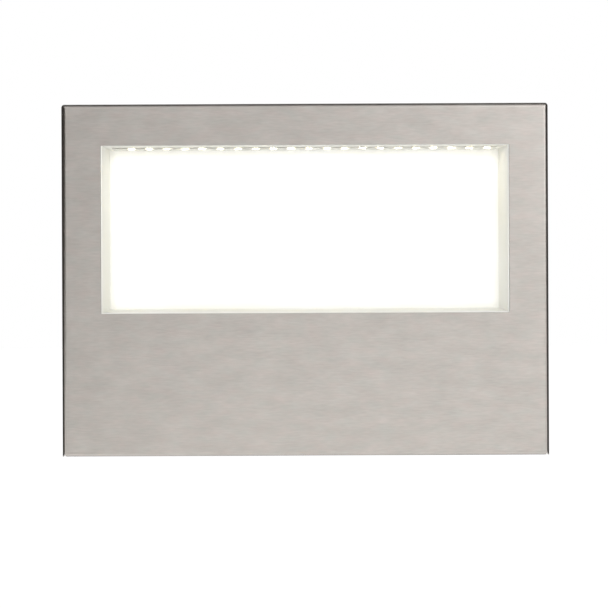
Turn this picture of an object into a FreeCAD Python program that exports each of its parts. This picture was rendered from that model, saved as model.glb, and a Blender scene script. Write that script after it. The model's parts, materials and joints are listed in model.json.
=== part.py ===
import FreeCAD, Part
import math
import os
import Sketcher

# A recessed wall light for steps and garden walls. X runs to the right, Z up and Y into the
# wall. The origin is the middle of the cover, on the plane of the wall. Lengths in millimetres.

V = FreeCAD.Vector

# name, value, what it measures
SIZES = (
    ("cover_wide", "215", "cover, side to side"),
    ("cover_tall", "155.5", "cover, top to bottom"),
    ("cover_deep", "12", "cover, front face to rim"),
    ("cover_sheet", "1.2", "thickness of the cover's stainless sheet"),
    ("inner_bend", "1", "inner radius of the cover's folded edges"),
    ("top_corner_round", "1.3", "outer radius of the cover's closed top corners"),
    ("seam_wide", "0.9", "open seam at a bottom corner of the cover, at its mouth"),
    ("seam_tall", "1.5", "height of that seam"),
    ("seam_inset", "1.05", "middle of that seam from the cover's side"),
    ("rim_gap", "0.5", "cover's rim to the wall"),
    ("side_margin", "17.4", "cover's side edges to the window"),
    ("top_margin", "18.25", "cover's top edge to the window"),
    ("bottom_margin", "63", "cover's bottom edge to the window"),
    ("drain_wide", "10", "drain slot in the cover's bottom flange, length"),
    ("drain_deep", "3", "drain slot, width"),
    ("drain_spacing", "96", "distance between the two drain slots"),
    ("cover_screw_from_side", "37.5", "cover screws from the cover's sides"),
    ("cover_screw_radius", "2", "grub screw in the cover's bottom flange"),
    ("cover_screw_sink", "0.2", "grub screw's end inside the flange's outer face"),
    ("dog_radius", "1.25", "plain tip of the grub screw"),
    ("dog_long", "1", "length of that tip"),
    ("hex_key", "2", "socket in a grub screw, across flats"),
    ("socket_deep", "1.8", "depth of that socket"),
    ("tip_gap", "0.1", "grub screw's tip to the chassis"),
    ("nut_radius", "3.3", "clinch nut"),
    ("nut_tall", "2.5", "clinch nut"),
    ("nut_edge_gap", "0.1", "clinch nut to the inner bend"),
    ("tip_reach", "0.85", "grub screw's tip beyond its nut"),
    ("thread_gap", "0.05", "screw to its thread or bore, in radius"),
    ("hole_gap", "0.3", "screw to a plain hole, in radius"),
    ("cover_fit", "0.3", "cover's flanges to the chassis"),
    ("chassis_sheet", "1.5", "thickness of the chassis sheet"),
    ("chassis_bend", "0.5", "inner radius of the chassis bends"),
    ("chassis_relief", "2.5", "square relief at each corner of the chassis"),
    ("chassis_gasket_thick", "1.5", "gasket between chassis and wall box"),
    ("gasket_setback", "0.5", "gaskets inside the edge that they seal"),
    ("wall_gasket_thick", "1.5", "gasket between wall box and wall"),
    ("liner_gasket_thick", "1", "gasket between recess liner and chassis"),
    ("recess_deep", "36", "front face to the back of the recess"),
    ("liner_wall", "1.6", "wall of the moulded recess liner"),
    ("liner_flange", "5", "flange round the liner"),
    ("liner_round", "2.5", "outer radius of the liner's long edges"),
    ("liner_side_inset", "0.4", "liner inside the window at the sides and bottom"),
    ("liner_top_inset", "0.2", "liner inside the window at the top"),
    ("liner_front_gap", "0.6", "cover's back face to the liner's front edge"),
    ("liner_fit", "0.5", "liner to the window in the chassis"),
    ("liner_cover_gap", "1.7", "cover's back face to the liner's flange"),
    ("liner_side_space", "5.7", "liner to the wall box's side walls"),
    ("liner_top_space", "6.2", "liner to the wall box's top wall"),
    ("rivet_radius", "1.5", "shank of a liner rivet"),
    ("rivet_head_radius", "2.2", "head of a liner rivet"),
    ("rivet_head_tall", "0.9", "head of a liner rivet"),
    ("rivet_tail_radius", "1.8", "formed tail of a liner rivet"),
    ("rivet_tail_long", "2", "formed tail of a liner rivet"),
    ("rivet_spacing", "90", "distance between two rivets in a row"),
    ("boss_radius", "4", "boss on the back of the liner"),
    ("boss_tall", "4", "boss on the back of the liner"),
    ("boss_spacing", "60", "distance between neighbouring bosses"),
    ("boss_drop", "23.3", "bosses below the ceiling of the recess"),
    ("led_pitch", "8.05", "distance between neighbouring diodes"),
    ("led_end_right", "4.3", "last diode from the board's right end"),
    ("led_end_left", "8", "least distance of the first diode from its left end"),
    ("led_long", "3.5", "diode package along the row"),
    ("led_broad", "2.8", "diode package across the row"),
    ("led_tall", "0.7", "diode package"),
    ("led_line", "8", "row of diodes behind the wall's plane"),
    ("board_end_gap", "2.7", "circuit board of the diodes inside the liner's ends"),
    ("board_broad", "10", "circuit board of the diodes"),
    ("board_thick", "1.6", "circuit board of the diodes"),
    ("board_fit", "0.3", "that board to its slot"),
    ("potting_thick", "1", "clear resin under the board"),
    ("potting_setback", "0.5", "clear resin inside the board's edge"),
    ("tape_thick", "0.3", "thermal tape"),
    ("carrier_sheet", "2", "aluminium angle over the liner"),
    ("carrier_open_end", "8", "board left bare at its left end for the leads"),
    ("carrier_front", "1", "front edge of the angle behind the wall's plane"),
    ("carrier_skirt", "12", "angle below the bosses"),
    ("carrier_screw_radius", "1.5", "screws of the angle"),
    ("carrier_screw_long", "5", "screws of the angle"),
    ("carrier_head_radius", "2.8", "heads of those screws"),
    ("head_tall", "2.2", "height of the pan heads"),
    ("slot_broad", "0.9", "cross slots in the pan heads"),
    ("slot_deep", "1.1", "cross slots in the pan heads"),
    ("slot_share", "0.55", "reach of those slots as a share of the head's radius"),
    ("chassis_screw_radius", "1.75", "captive screws of the chassis"),
    ("chassis_screw_long", "12", "captive screws of the chassis"),
    ("chassis_head_radius", "3.5", "heads of those screws"),
    ("corner_inset_side", "2.2", "those screws inside the wall box's side walls"),
    ("corner_inset_end", "2.9", "those screws inside its top and bottom walls"),
    ("corner_pad_radius", "4.6", "gasket pad round each of those screws"),
    ("notch_gap", "0.4", "liner flange round those heads"),
    ("column_radius", "4", "corner columns of the wall box"),
    ("column_deep", "16", "corner columns of the wall box"),
    ("insert_radius", "2.6", "brass inserts in the columns"),
    ("insert_long", "8", "brass inserts in the columns"),
    ("insert_sink", "0.3", "inserts below the columns' faces"),
    ("box_deep", "46", "wall box behind the wall's plane"),
    ("box_wall", "2.5", "wall of the moulded wall box"),
    ("box_flange_inset", "3", "wall box's flange inside the chassis at the sides"),
    ("box_round", "4", "outer radius of the tub's long edges"),
    ("box_gasket_fit", "0.3", "wall gasket to the tub"),
    ("fixing_from_entry", "22", "fixing holes in the back, inwards from the cable entries"),
    ("fixing_from_end", "17.1", "fixing holes from the wall box's top and bottom walls"),
    ("fixing_hole_radius", "2.5", "fixing holes in the back"),
    ("fixing_boss_radius", "7", "bosses round the fixing holes"),
    ("fixing_boss_tall", "4", "bosses round the fixing holes"),
    ("washer_radius", "5.5", "sealing washers on those bosses"),
    ("washer_thick", "1.5", "sealing washers on those bosses"),
    ("entry_from_side", "17", "cable gland and blanking plug from the side walls"),
    ("entry_from_floor", "19.1", "cable gland and blanking plug above the bottom wall"),
    ("entry_radius", "8.1", "holes for cable gland and blanking plug"),
    ("entry_fit", "0.1", "gland and plug in those holes"),
    ("gland_hex", "20", "cable gland's body, across flats"),
    ("gland_hex_thick", "4", "cable gland's body"),
    ("gland_washer_radius", "10.6", "washer under the gland's body"),
    ("gland_washer_thick", "1.5", "washer under the gland's body"),
    ("gland_neck_radius", "7", "threaded neck of the gland"),
    ("gland_neck_long", "8", "threaded neck of the gland"),
    ("gland_bore", "5", "passage through the gland's body"),
    ("gland_tail", "5.5", "gland's thread beyond the wall box"),
    ("locknut_hex", "22", "gland's locknut, across flats"),
    ("locknut_thick", "4", "gland's locknut"),
    ("seal_bore", "3.5", "rubber seal in the gland"),
    ("seal_seat", "7", "depth of the seal's seat in the neck"),
    ("seal_wall_gap", "0.1", "seal to the gland's neck"),
    ("gland_nut_hex", "19", "gland's dome nut, across flats"),
    ("gland_nut_long", "11", "gland's dome nut"),
    ("gland_nut_end", "2", "closed end of the dome nut"),
    ("gland_nut_gap", "1", "dome nut to the gland's body"),
    ("gland_mouth", "4.5", "opening in the dome nut"),
    ("plug_head_radius", "10", "blanking plug's head"),
    ("plug_head_thick", "2.5", "blanking plug's head"),
    ("plug_catch", "0.5", "blanking plug's catch beyond its hole"),
    ("plug_catch_long", "2.5", "blanking plug's catch"),
    ("plug_wall", "1.6", "blanking plug's wall"),
    ("driver_long", "66", "electronic driver, along X"),
    ("driver_deep", "22", "electronic driver, off the chassis"),
    ("driver_from_side", "12", "driver from the wall box's left wall"),
    ("driver_from_floor", "5.1", "driver above the wall box's bottom wall"),
    ("driver_from_liner", "10.05", "driver below the liner"),
    ("driver_wall", "2", "driver's case"),
    ("driver_ear_long", "7", "driver's fixing ears"),
    ("driver_ear_tall", "12", "driver's fixing ears"),
    ("driver_screw_radius", "1.75", "driver's fixing screws"),
    ("driver_head_radius", "3", "heads of those screws"),
    ("lid_lip", "3", "lip of the driver's lid"),
    ("lid_lip_wall", "1.2", "lip of the driver's lid"),
    ("lid_fit", "0.15", "that lip to the case"),
    ("driver_board_thick", "1.6", "driver's circuit board"),
    ("driver_board_fit", "0.3", "driver's board to its case"),
    ("post_tall", "4", "posts under the driver's board"),
    ("post_radius", "2.5", "posts under the driver's board"),
    ("post_inset", "8", "those posts from the case's walls"),
    ("transformer_gap", "2", "transformer to the capacitors and the choke beside it"),
    ("transformer_tall", "19", "transformer, along Z"),
    ("transformer_deep", "9", "transformer, off its board"),
    ("core_across", "7", "ferrite core round the transformer"),
    ("core_proud", "1.5", "ferrite core beyond the winding"),
    ("capacitor_radius", "3.2", "electrolytic capacitors"),
    ("capacitor_long", "8.8", "electrolytic capacitors"),
    ("capacitor_gap", "1.2", "between neighbouring capacitors"),
    ("capacitor_round", "0.6", "rims of the capacitors"),
    ("capacitor_from_left", "7.6", "first capacitor from the case's left end"),
    ("choke_radius", "4.5", "ring choke"),
    ("choke_bore", "2", "ring choke"),
    ("choke_deep", "6", "ring choke"),
    ("choke_round", "1", "rims of the ring choke"),
    ("choke_from_right", "15", "ring choke from the case's right end"),
    ("terminal_long", "22", "terminal block, along X"),
    ("terminal_deep", "13.5", "terminal block, off the chassis"),
    ("terminal_from_clamp", "8.5", "terminal block from the cord clamp"),
    ("terminal_from_floor", "5.6", "terminal block above the wall box's bottom wall"),
    ("way_web", "3.8", "plastic between neighbouring ways of the block"),
    ("barrel_radius", "2.6", "brass barrel in each way"),
    ("barrel_bore", "1.5", "wire hole in each barrel"),
    ("barrel_sink", "2", "barrel inside the block's ends"),
    ("barrel_axis", "6", "barrels off the chassis"),
    ("wire_screw_radius", "1.4", "wire screws"),
    ("wire_screw_spacing", "10", "between the two wire screws of a way"),
    ("wire_screw_sink", "1", "wire screws below the block's face"),
    ("block_screw_radius", "1.5", "the block's fixing screws"),
    ("block_head_radius", "2.8", "heads of those screws"),
    ("block_head_sink", "4", "seat of those heads below the block's face"),
    ("screw_through", "0.5", "fixing screws beyond the chassis"),
    ("clamp_from_side", "15.5", "cord clamp from the wall box's right wall"),
    ("clamp_broad", "9", "cord clamp, along X"),
    ("clamp_thick", "1.5", "cord clamp's strap"),
    ("clamp_channel", "8", "passage under the strap, width"),
    ("clamp_arch", "8", "passage under the strap, height"),
    ("clamp_round", "2.5", "inner radius of the strap's arch"),
    ("clamp_head_radius", "2.2", "heads of the clamp's screws"),
    ("clamp_head_gap", "0.8", "those heads to the strap"),
    ("clamp_edge", "1.3", "those heads to the strap's ends"),
    ("earth_from_terminal", "20", "earth screw to the left of the terminal block"),
    ("earth_rise", "5", "earth screw above the earth way"),
    ("earth_screw_radius", "2", "earth screw"),
    ("earth_head_radius", "3.2", "earth screw's head"),
    ("lug_radius", "3.6", "ring of the earth lug"),
    ("lug_thick", "0.8", "earth lug"),
    ("lug_tail", "5.5", "earth lug, screw to crimp"),
    ("crimp_radius", "1.7", "crimp of the earth lug"),
    ("crimp_long", "4", "crimp of the earth lug"),
    ("crimp_ease", "3", "straight end of the earth lead outside the crimp"),
    ("bend_share", "0.45", "share of a lead's shorter run that a bend takes up"),
    ("led_lead_radius", "0.8", "leads to the diodes"),
    ("mains_lead_radius", "1.1", "mains and earth leads"),
    ("lead_hole_gap", "0.2", "leads in the driver's holes"),
    ("lead_reach", "5", "mains leads inside their barrels"),
    ("lead_rise", "3.5", "leads off the driver's board where they leave the case"),
    ("lead_inset", "8.5", "leads' joints on that board from the case's ends"),
    ("lead_ease", "5", "straight ends of the leads outside a case"),
    ("led_lead_spacing", "3", "between the two leads to the diodes"),
    ("led_lead_landing", "2.5", "first lead's joint from the end of the diodes' board"),
    ("led_lead_over", "4.1", "leads over that board before they turn down to it"),
    ("led_lead_behind", "2", "upright runs of those leads behind the liner"),
    ("led_lead_below", "4", "lower ends of those runs below the liner"),
)


def above(start, *steps):
    """A place or size reached from another by adding steps, as an expression."""
    return "(" + " + ".join((start,) + steps) + ")"


def below(start, *steps):
    """A place or size reached from another by taking steps away, as an expression."""
    return "(" + " - ".join((start,) + steps) + ")"


def minus(place):
    """The same place on the other side of zero."""
    return f"(-1 * {place})"


def half(length):
    return f"({length} / 2)"


# Planes along Y, from the front to the back.
RIM = "(-1 * Sizes.rim_gap)"
FRONT = below(RIM, "Sizes.cover_deep")
COVER_BACK = above(FRONT, "Sizes.cover_sheet")
BEND_END = above(COVER_BACK, "Sizes.inner_bend")
LINER_FRONT = above(COVER_BACK, "Sizes.liner_front_gap")
LINER_FLANGE_FRONT = above(COVER_BACK, "Sizes.liner_cover_gap")
LINER_SEAT = above(LINER_FLANGE_FRONT, "Sizes.liner_wall")
PLATE_FRONT = above(LINER_SEAT, "Sizes.liner_gasket_thick")
PLATE_BACK = above(PLATE_FRONT, "Sizes.chassis_sheet")
BOX_FRONT = above(PLATE_BACK, "Sizes.chassis_gasket_thick")
BOX_FLANGE_BACK = "(-1 * Sizes.wall_gasket_thick)"
CHASSIS_FRONT = above(BEND_END, "Sizes.cover_fit")
RECESS_BACK = above(FRONT, "Sizes.recess_deep")
LINER_BACK = above(RECESS_BACK, "Sizes.liner_wall")
CARRIER_SEAT_BACK = above(LINER_BACK, "Sizes.boss_tall")
CARRIER_BACK = above(CARRIER_SEAT_BACK, "Sizes.carrier_sheet")
BOX_BACK = "Sizes.box_deep"
BOX_FLOOR = below(BOX_BACK, "Sizes.box_wall")
FIXING_SEAT = below(BOX_FLOOR, "Sizes.fixing_boss_tall")

# Heights along Z.
COVER_TOP = half("Sizes.cover_tall")
COVER_BOTTOM = minus(COVER_TOP)
WINDOW_TOP = below(COVER_TOP, "Sizes.top_margin")
WINDOW_BOTTOM = above(COVER_BOTTOM, "Sizes.bottom_margin")
CEILING = below(WINDOW_TOP, "Sizes.liner_top_inset")
LEDGE = above(WINDOW_BOTTOM, "Sizes.liner_side_inset")
LINER_TOP = above(CEILING, "Sizes.liner_wall")
LINER_BOTTOM = below(LEDGE, "Sizes.liner_wall")
CHASSIS_TOP = below(COVER_TOP, "Sizes.cover_sheet", "Sizes.cover_fit")
COVER_FLOOR = above(COVER_BOTTOM, "Sizes.cover_sheet")
NUT_TOP = above(COVER_FLOOR, "Sizes.nut_tall")
TIP_TOP = above(NUT_TOP, "Sizes.tip_reach")
CHASSIS_BOTTOM = above(TIP_TOP, "Sizes.tip_gap")
BOX_FLANGE_TOP = minus(CHASSIS_BOTTOM)
TUB_CEILING = above(LINER_TOP, "Sizes.liner_top_space")
TUB_FLOOR = minus(TUB_CEILING)
TUB_TOP = above(TUB_CEILING, "Sizes.box_wall")
CORNER_HEIGHT = below(TUB_CEILING, "Sizes.corner_inset_end")
BOARD_TOP = LINER_TOP
BOARD_UNDERSIDE = below(BOARD_TOP, "Sizes.board_thick")
CARRIER_SEAT = above(BOARD_TOP, "Sizes.tape_thick")
CARRIER_TOP = above(CARRIER_SEAT, "Sizes.carrier_sheet")
BOSS_HEIGHT = below(CEILING, "Sizes.boss_drop")
CARRIER_BOTTOM = below(BOSS_HEIGHT, "Sizes.carrier_skirt")

# Half widths along X.
COVER_SIDE = half("Sizes.cover_wide")
WINDOW_SIDE = below(COVER_SIDE, "Sizes.side_margin")
LINER_INNER = below(WINDOW_SIDE, "Sizes.liner_side_inset")
LINER_SIDE = above(LINER_INNER, "Sizes.liner_wall")
CHASSIS_SIDE = below(COVER_SIDE, "Sizes.cover_sheet", "Sizes.cover_fit")
BOX_FLANGE_SIDE = below(CHASSIS_SIDE, "Sizes.box_flange_inset")
TUB_INNER = above(LINER_SIDE, "Sizes.liner_side_space")
TUB_SIDE = above(TUB_INNER, "Sizes.box_wall")
CORNER_ACROSS = below(TUB_INNER, "Sizes.corner_inset_side")
BOARD_END = below(LINER_INNER, "Sizes.board_end_gap")

# The middle of the liner's flange on each side, where its rivets sit.
RIVET_TOP = above(LINER_TOP, half(above("Sizes.liner_flange", "Sizes.liner_fit")))
RIVET_BOTTOM = below(LINER_BOTTOM, half(above("Sizes.liner_flange", "Sizes.liner_fit")))
RIVET_SIDE = above(LINER_SIDE, half(above("Sizes.liner_flange", "Sizes.liner_fit")))

# The two cover screws stand in the bottom flange, clear of its bend.
COVER_SCREW_LINE = above(BEND_END, "Sizes.nut_edge_gap", "Sizes.nut_radius")
COVER_SCREW_ACROSS = below(COVER_SIDE, "Sizes.cover_screw_from_side")

# The row of diodes ends at the right and has as many as the board takes.
LED_ROOM = below(f"2 * {BOARD_END}", "Sizes.led_end_left", "Sizes.led_end_right")
LED_STEPS = f"floor({LED_ROOM} / Sizes.led_pitch)"
LED_FIRST = below(BOARD_END, "Sizes.led_end_right", f"Sizes.led_pitch * {LED_STEPS}")

# The driver behind the lower part of the chassis.
DRIVER_LEFT = above(minus(TUB_INNER), "Sizes.driver_from_side")
DRIVER_RIGHT = above(DRIVER_LEFT, "Sizes.driver_long")
DRIVER_BOTTOM = above(TUB_FLOOR, "Sizes.driver_from_floor")
DRIVER_TOP = below(LINER_BOTTOM, "Sizes.driver_from_liner")
DRIVER_HEIGHT = half(above(DRIVER_TOP, DRIVER_BOTTOM))
DRIVER_BACK = above(PLATE_BACK, "Sizes.driver_deep")
LID_SEAT = below(DRIVER_BACK, "Sizes.driver_wall")
DRIVER_FLOOR = above(PLATE_BACK, "Sizes.driver_wall")
DRIVER_BOARD_SEAT = above(DRIVER_FLOOR, "Sizes.post_tall")
DRIVER_BOARD_FACE = above(DRIVER_BOARD_SEAT, "Sizes.driver_board_thick")
LEAD_EXIT = above(DRIVER_BOARD_FACE, "Sizes.lead_rise")
LED_LEAD_HEIGHTS = (
    below(DRIVER_TOP, "2 * Sizes.led_lead_spacing"),
    below(DRIVER_TOP, "3 * Sizes.led_lead_spacing"),
)
CAPACITOR_PITCH = above("2 * Sizes.capacitor_radius", "Sizes.capacitor_gap")
CAPACITORS = tuple(
    (above(DRIVER_LEFT, "Sizes.capacitor_from_left", f"{step} * {CAPACITOR_PITCH}"), DRIVER_HEIGHT)
    for step in range(3)
)
CHOKE = (below(DRIVER_RIGHT, "Sizes.choke_from_right"), DRIVER_HEIGHT)
TRANSFORMER_LEFT = above(CAPACITORS[-1][0], "Sizes.capacitor_radius", "Sizes.transformer_gap")
TRANSFORMER_RIGHT = below(CHOKE[0], "Sizes.choke_radius", "Sizes.transformer_gap")
EAR_LEFT = below(DRIVER_LEFT, half("Sizes.driver_ear_long"))
EAR_RIGHT = above(DRIVER_RIGHT, half("Sizes.driver_ear_long"))

# The cord clamp at the right, the terminal block beside it and the earth screw beside that.
CLAMP_RIGHT = below(TUB_INNER, "Sizes.clamp_from_side")
CLAMP_LEFT = below(CLAMP_RIGHT, "Sizes.clamp_broad")
CLAMP_ACROSS = half(above(CLAMP_LEFT, CLAMP_RIGHT))
TERMINAL_RIGHT = below(CLAMP_LEFT, "Sizes.terminal_from_clamp")
TERMINAL_LEFT = below(TERMINAL_RIGHT, "Sizes.terminal_long")
TERMINAL_MIDDLE = half(above(TERMINAL_LEFT, TERMINAL_RIGHT))
TERMINAL_BACK = above(PLATE_BACK, "Sizes.terminal_deep")
WAY_PITCH = above("2 * Sizes.barrel_radius", "Sizes.way_web")
TERMINAL_BOTTOM = above(TUB_FLOOR, "Sizes.terminal_from_floor")
TERMINAL_TOP = above(TERMINAL_BOTTOM, f"3 * {WAY_PITCH}")
TERMINAL_HEIGHT = half(above(TERMINAL_BOTTOM, TERMINAL_TOP))
BARREL_LINE = above(PLATE_BACK, "Sizes.barrel_axis")
LIVE_WAY = below(TERMINAL_HEIGHT, WAY_PITCH)
NEUTRAL_WAY = TERMINAL_HEIGHT
EARTH_WAY = above(TERMINAL_HEIGHT, WAY_PITCH)
WAYS = (LIVE_WAY, NEUTRAL_WAY, EARTH_WAY)
BETWEEN_WAYS = (half(above(LIVE_WAY, NEUTRAL_WAY)), half(above(NEUTRAL_WAY, EARTH_WAY)))
CLAMP_SHOULDER = above(half("Sizes.clamp_channel"), "Sizes.clamp_thick")
CLAMP_SCREW_REACH = above(CLAMP_SHOULDER, "Sizes.clamp_head_gap", "Sizes.clamp_head_radius")
CLAMP_REACH = above(CLAMP_SCREW_REACH, "Sizes.clamp_head_radius", "Sizes.clamp_edge")
EARTH_ACROSS = below(TERMINAL_LEFT, "Sizes.earth_from_terminal")
EARTH_HEIGHT = above(EARTH_WAY, "Sizes.earth_rise")
CRIMP_START = above(EARTH_ACROSS, "Sizes.lug_tail")
CRIMP_END = above(CRIMP_START, "Sizes.crimp_long")
CRIMP_LINE = above(PLATE_BACK, "Sizes.crimp_radius")
BLOCK_HEAD_SEAT = below(TERMINAL_BACK, "Sizes.block_head_sink")

doc = FreeCAD.newDocument("step_light")
sheet = doc.addObject("Spreadsheet::Sheet", "Sizes")
nodes = []


def fill_sheet():
    """Write every driving size to the sheet under its own name."""
    for row, (alias, number, note) in enumerate(SIZES, start=1):
        sheet.set(f"A{row}", note)
        sheet.set(f"B{row}", number)
        sheet.setAlias(f"B{row}", alias)
    doc.recompute()


def value(expression):
    """The present number behind an expression."""
    return float(sheet.evalExpression(str(expression)))


# ---------------------------------------------------------------- drawing helpers

# A sketch square to each axis lies on this plane; its own x and y are the other two axes in
# X, Y, Z order. A sketch on the XZ plane faces -Y.
PLANES = {"X": ("YZ_Plane", 1), "Y": ("XZ_Plane", -1), "Z": ("XY_Plane", 1)}


def new_body(label):
    """A sub-part of its own."""
    body = doc.addObject("PartDesign::Body", label)
    body.Label = label
    nodes.append(body)
    return body


def origin_feature(body, role):
    return next(f for f in body.Origin.OriginFeatures if f.Role == role)


def new_sketch(body, name, axis, station):
    """A sketch square to an axis, at a station along it."""
    role, facing = PLANES[axis]
    sketch = body.newObject("Sketcher::SketchObject", name)
    sketch.AttachmentSupport = [(origin_feature(body, role), "")]
    sketch.MapMode = "FlatFace"
    sketch.setExpression("AttachmentOffset.Base.z", f"{facing} * {station}")
    return sketch


def place_point(sketch, geometry, point, x, y):
    """Fix a sketch point at two distances from the sketch's origin."""
    for kind, distance in (("DistanceX", x), ("DistanceY", y)):
        number = sketch.addConstraint(
            Sketcher.Constraint(kind, -1, 1, geometry, point, value(distance))
        )
        sketch.setExpression(f"Constraints[{number}]", distance)


def draw_outline(sketch, corners):
    """A closed outline of straight lines through corners (x, y)."""
    first = sketch.GeometryCount
    points = [V(value(x), value(y), 0) for x, y in corners]
    count = len(points)
    for i in range(count):
        sketch.addGeometry(Part.LineSegment(points[i], points[(i + 1) % count]), False)
    for i in range(count):
        following = first + (i + 1) % count
        sketch.addConstraint(Sketcher.Constraint("Coincident", first + i, 2, following, 1))
    for i, (x, y) in enumerate(corners):
        place_point(sketch, first + i, 1, x, y)


def draw_disc(sketch, x, y, radius):
    """A circle round a point."""
    circle = Part.Circle(V(value(x), value(y), 0), V(0, 0, 1), value(radius))
    number = sketch.addGeometry(circle, False)
    place_point(sketch, number, 3, x, y)
    size = sketch.addConstraint(Sketcher.Constraint("Radius", number, value(radius)))
    sketch.setExpression(f"Constraints[{size}]", radius)


def block(x0, x1, y0, y1):
    """A rectangle between two stations each way."""
    return ("outline", ((x0, y0), (x1, y0), (x1, y1), (x0, y1)))


def disc(x, y, radius):
    return ("disc", x, y, radius)


def hexagon(x, y, across_flats):
    """A regular hexagon with two of its corners level with its middle."""
    corners = []
    for step in range(6):
        angle = math.radians(60 * step)
        reach = 1 / math.sqrt(3)
        corners.append(
            (
                f"({x} + {across_flats} * {reach * math.cos(angle):.9f})",
                f"({y} + {across_flats} * {reach * math.sin(angle):.9f})",
            )
        )
    return ("outline", tuple(corners))


def cross(x, y, reach, broad):
    """A plus sign, as the driver slots of a screw head."""
    b = half(broad)
    west, east = below(x, reach), above(x, reach)
    south, north = below(y, reach), above(y, reach)
    left, right = below(x, b), above(x, b)
    low, high = below(y, b), above(y, b)
    return (
        "outline",
        (
            (left, south), (right, south), (right, low), (east, low),
            (east, high), (right, high), (right, north), (left, north),
            (left, high), (west, high), (west, low), (left, low),
        ),
    )


def extrude(kind, body, name, axis, start, end, shapes):
    """Pad or pocket shapes between two stations along an axis."""
    facing = PLANES[axis][1]
    pad_starts_low = facing == 1
    from_low = pad_starts_low if kind == "Pad" else not pad_starts_low
    sketch = new_sketch(body, f"{name}_sketch", axis, start if from_low else end)
    for shape in shapes:
        if shape[0] == "outline":
            draw_outline(sketch, shape[1])
        else:
            draw_disc(sketch, *shape[1:])
    feature = body.newObject(f"PartDesign::{kind}", name)
    feature.Profile = sketch
    feature.setExpression("Length", below(end, start))
    doc.recompute()
    return feature


def pad(body, name, axis, start, end, *shapes):
    return extrude("Pad", body, name, axis, start, end, shapes)


def pocket(body, name, axis, start, end, *shapes):
    return extrude("Pocket", body, name, axis, start, end, shapes)


def near(a, b):
    return abs(a - b) < 1e-6


def runs_along(edge, axis):
    """True for an edge parallel to an axis."""
    box = edge.BoundBox
    spans = {"X": box.XLength, "Y": box.YLength, "Z": box.ZLength}
    return all(near(span, 0) == (name != axis) for name, span in spans.items())


def lies_at(edge, axis, place):
    """True for an edge in the plane at a place along an axis."""
    box = edge.BoundBox
    low, high = {
        "X": (box.XMin, box.XMax),
        "Y": (box.YMin, box.YMax),
        "Z": (box.ZMin, box.ZMax),
    }[axis]
    return near(low, place) and near(high, place)


def round_edges(body, name, radius, chosen):
    """Fillet the edges of the body's last feature for which chosen(edge) is true."""
    base = body.Tip
    edges = [
        f"Edge{number}"
        for number, edge in enumerate(base.Shape.Edges, start=1)
        if chosen(edge)
    ]
    feature = body.newObject("PartDesign::Fillet", name)
    feature.Base = (base, edges)
    feature.setExpression("Radius", radius)
    doc.recompute()
    return feature


def four_corners(across, height):
    """The four places at plus and minus two distances."""
    return tuple((x, z) for x in (across, minus(across)) for z in (height, minus(height)))


CHASSIS_SCREWS = four_corners(CORNER_ACROSS, CORNER_HEIGHT)
TOP_SCREWS = ((CORNER_ACROSS, CORNER_HEIGHT), (minus(CORNER_ACROSS), CORNER_HEIGHT))
FIXINGS = four_corners(
    below(TUB_INNER, "Sizes.entry_from_side", "Sizes.fixing_from_entry"),
    below(TUB_CEILING, "Sizes.fixing_from_end"),
)
GLAND = (below(TUB_INNER, "Sizes.entry_from_side"), above(TUB_FLOOR, "Sizes.entry_from_floor"))
PLUG = (minus(GLAND[0]), GLAND[1])
RIVETS = (
    (half("Sizes.rivet_spacing"), RIVET_TOP),
    (minus(half("Sizes.rivet_spacing")), RIVET_TOP),
    (half("Sizes.rivet_spacing"), RIVET_BOTTOM),
    (minus(half("Sizes.rivet_spacing")), RIVET_BOTTOM),
    (RIVET_SIDE, half(above(CEILING, LEDGE))),
    (minus(RIVET_SIDE), half(above(CEILING, LEDGE))),
)
BOSSES = (
    (minus("Sizes.boss_spacing"), BOSS_HEIGHT),
    ("0", BOSS_HEIGHT),
    ("Sizes.boss_spacing", BOSS_HEIGHT),
)
DRIVER_SCREWS = ((EAR_LEFT, DRIVER_HEIGHT), (EAR_RIGHT, DRIVER_HEIGHT))
BLOCK_SCREWS = tuple((TERMINAL_MIDDLE, height) for height in BETWEEN_WAYS)
WIRE_SCREWS = tuple(
    (above(TERMINAL_MIDDLE, f"{side} * Sizes.wire_screw_spacing / 2"), way)
    for way in WAYS
    for side in (-1, 1)
)
CLAMP_SCREWS = (
    (CLAMP_ACROSS, below(TERMINAL_HEIGHT, CLAMP_SCREW_REACH)),
    (CLAMP_ACROSS, above(TERMINAL_HEIGHT, CLAMP_SCREW_REACH)),
)
EARTH_SCREW = (EARTH_ACROSS, EARTH_HEIGHT)


def discs(places, radius):
    return [disc(x, z, radius) for x, z in places]


# ---------------------------------------------------------------- cover

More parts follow.
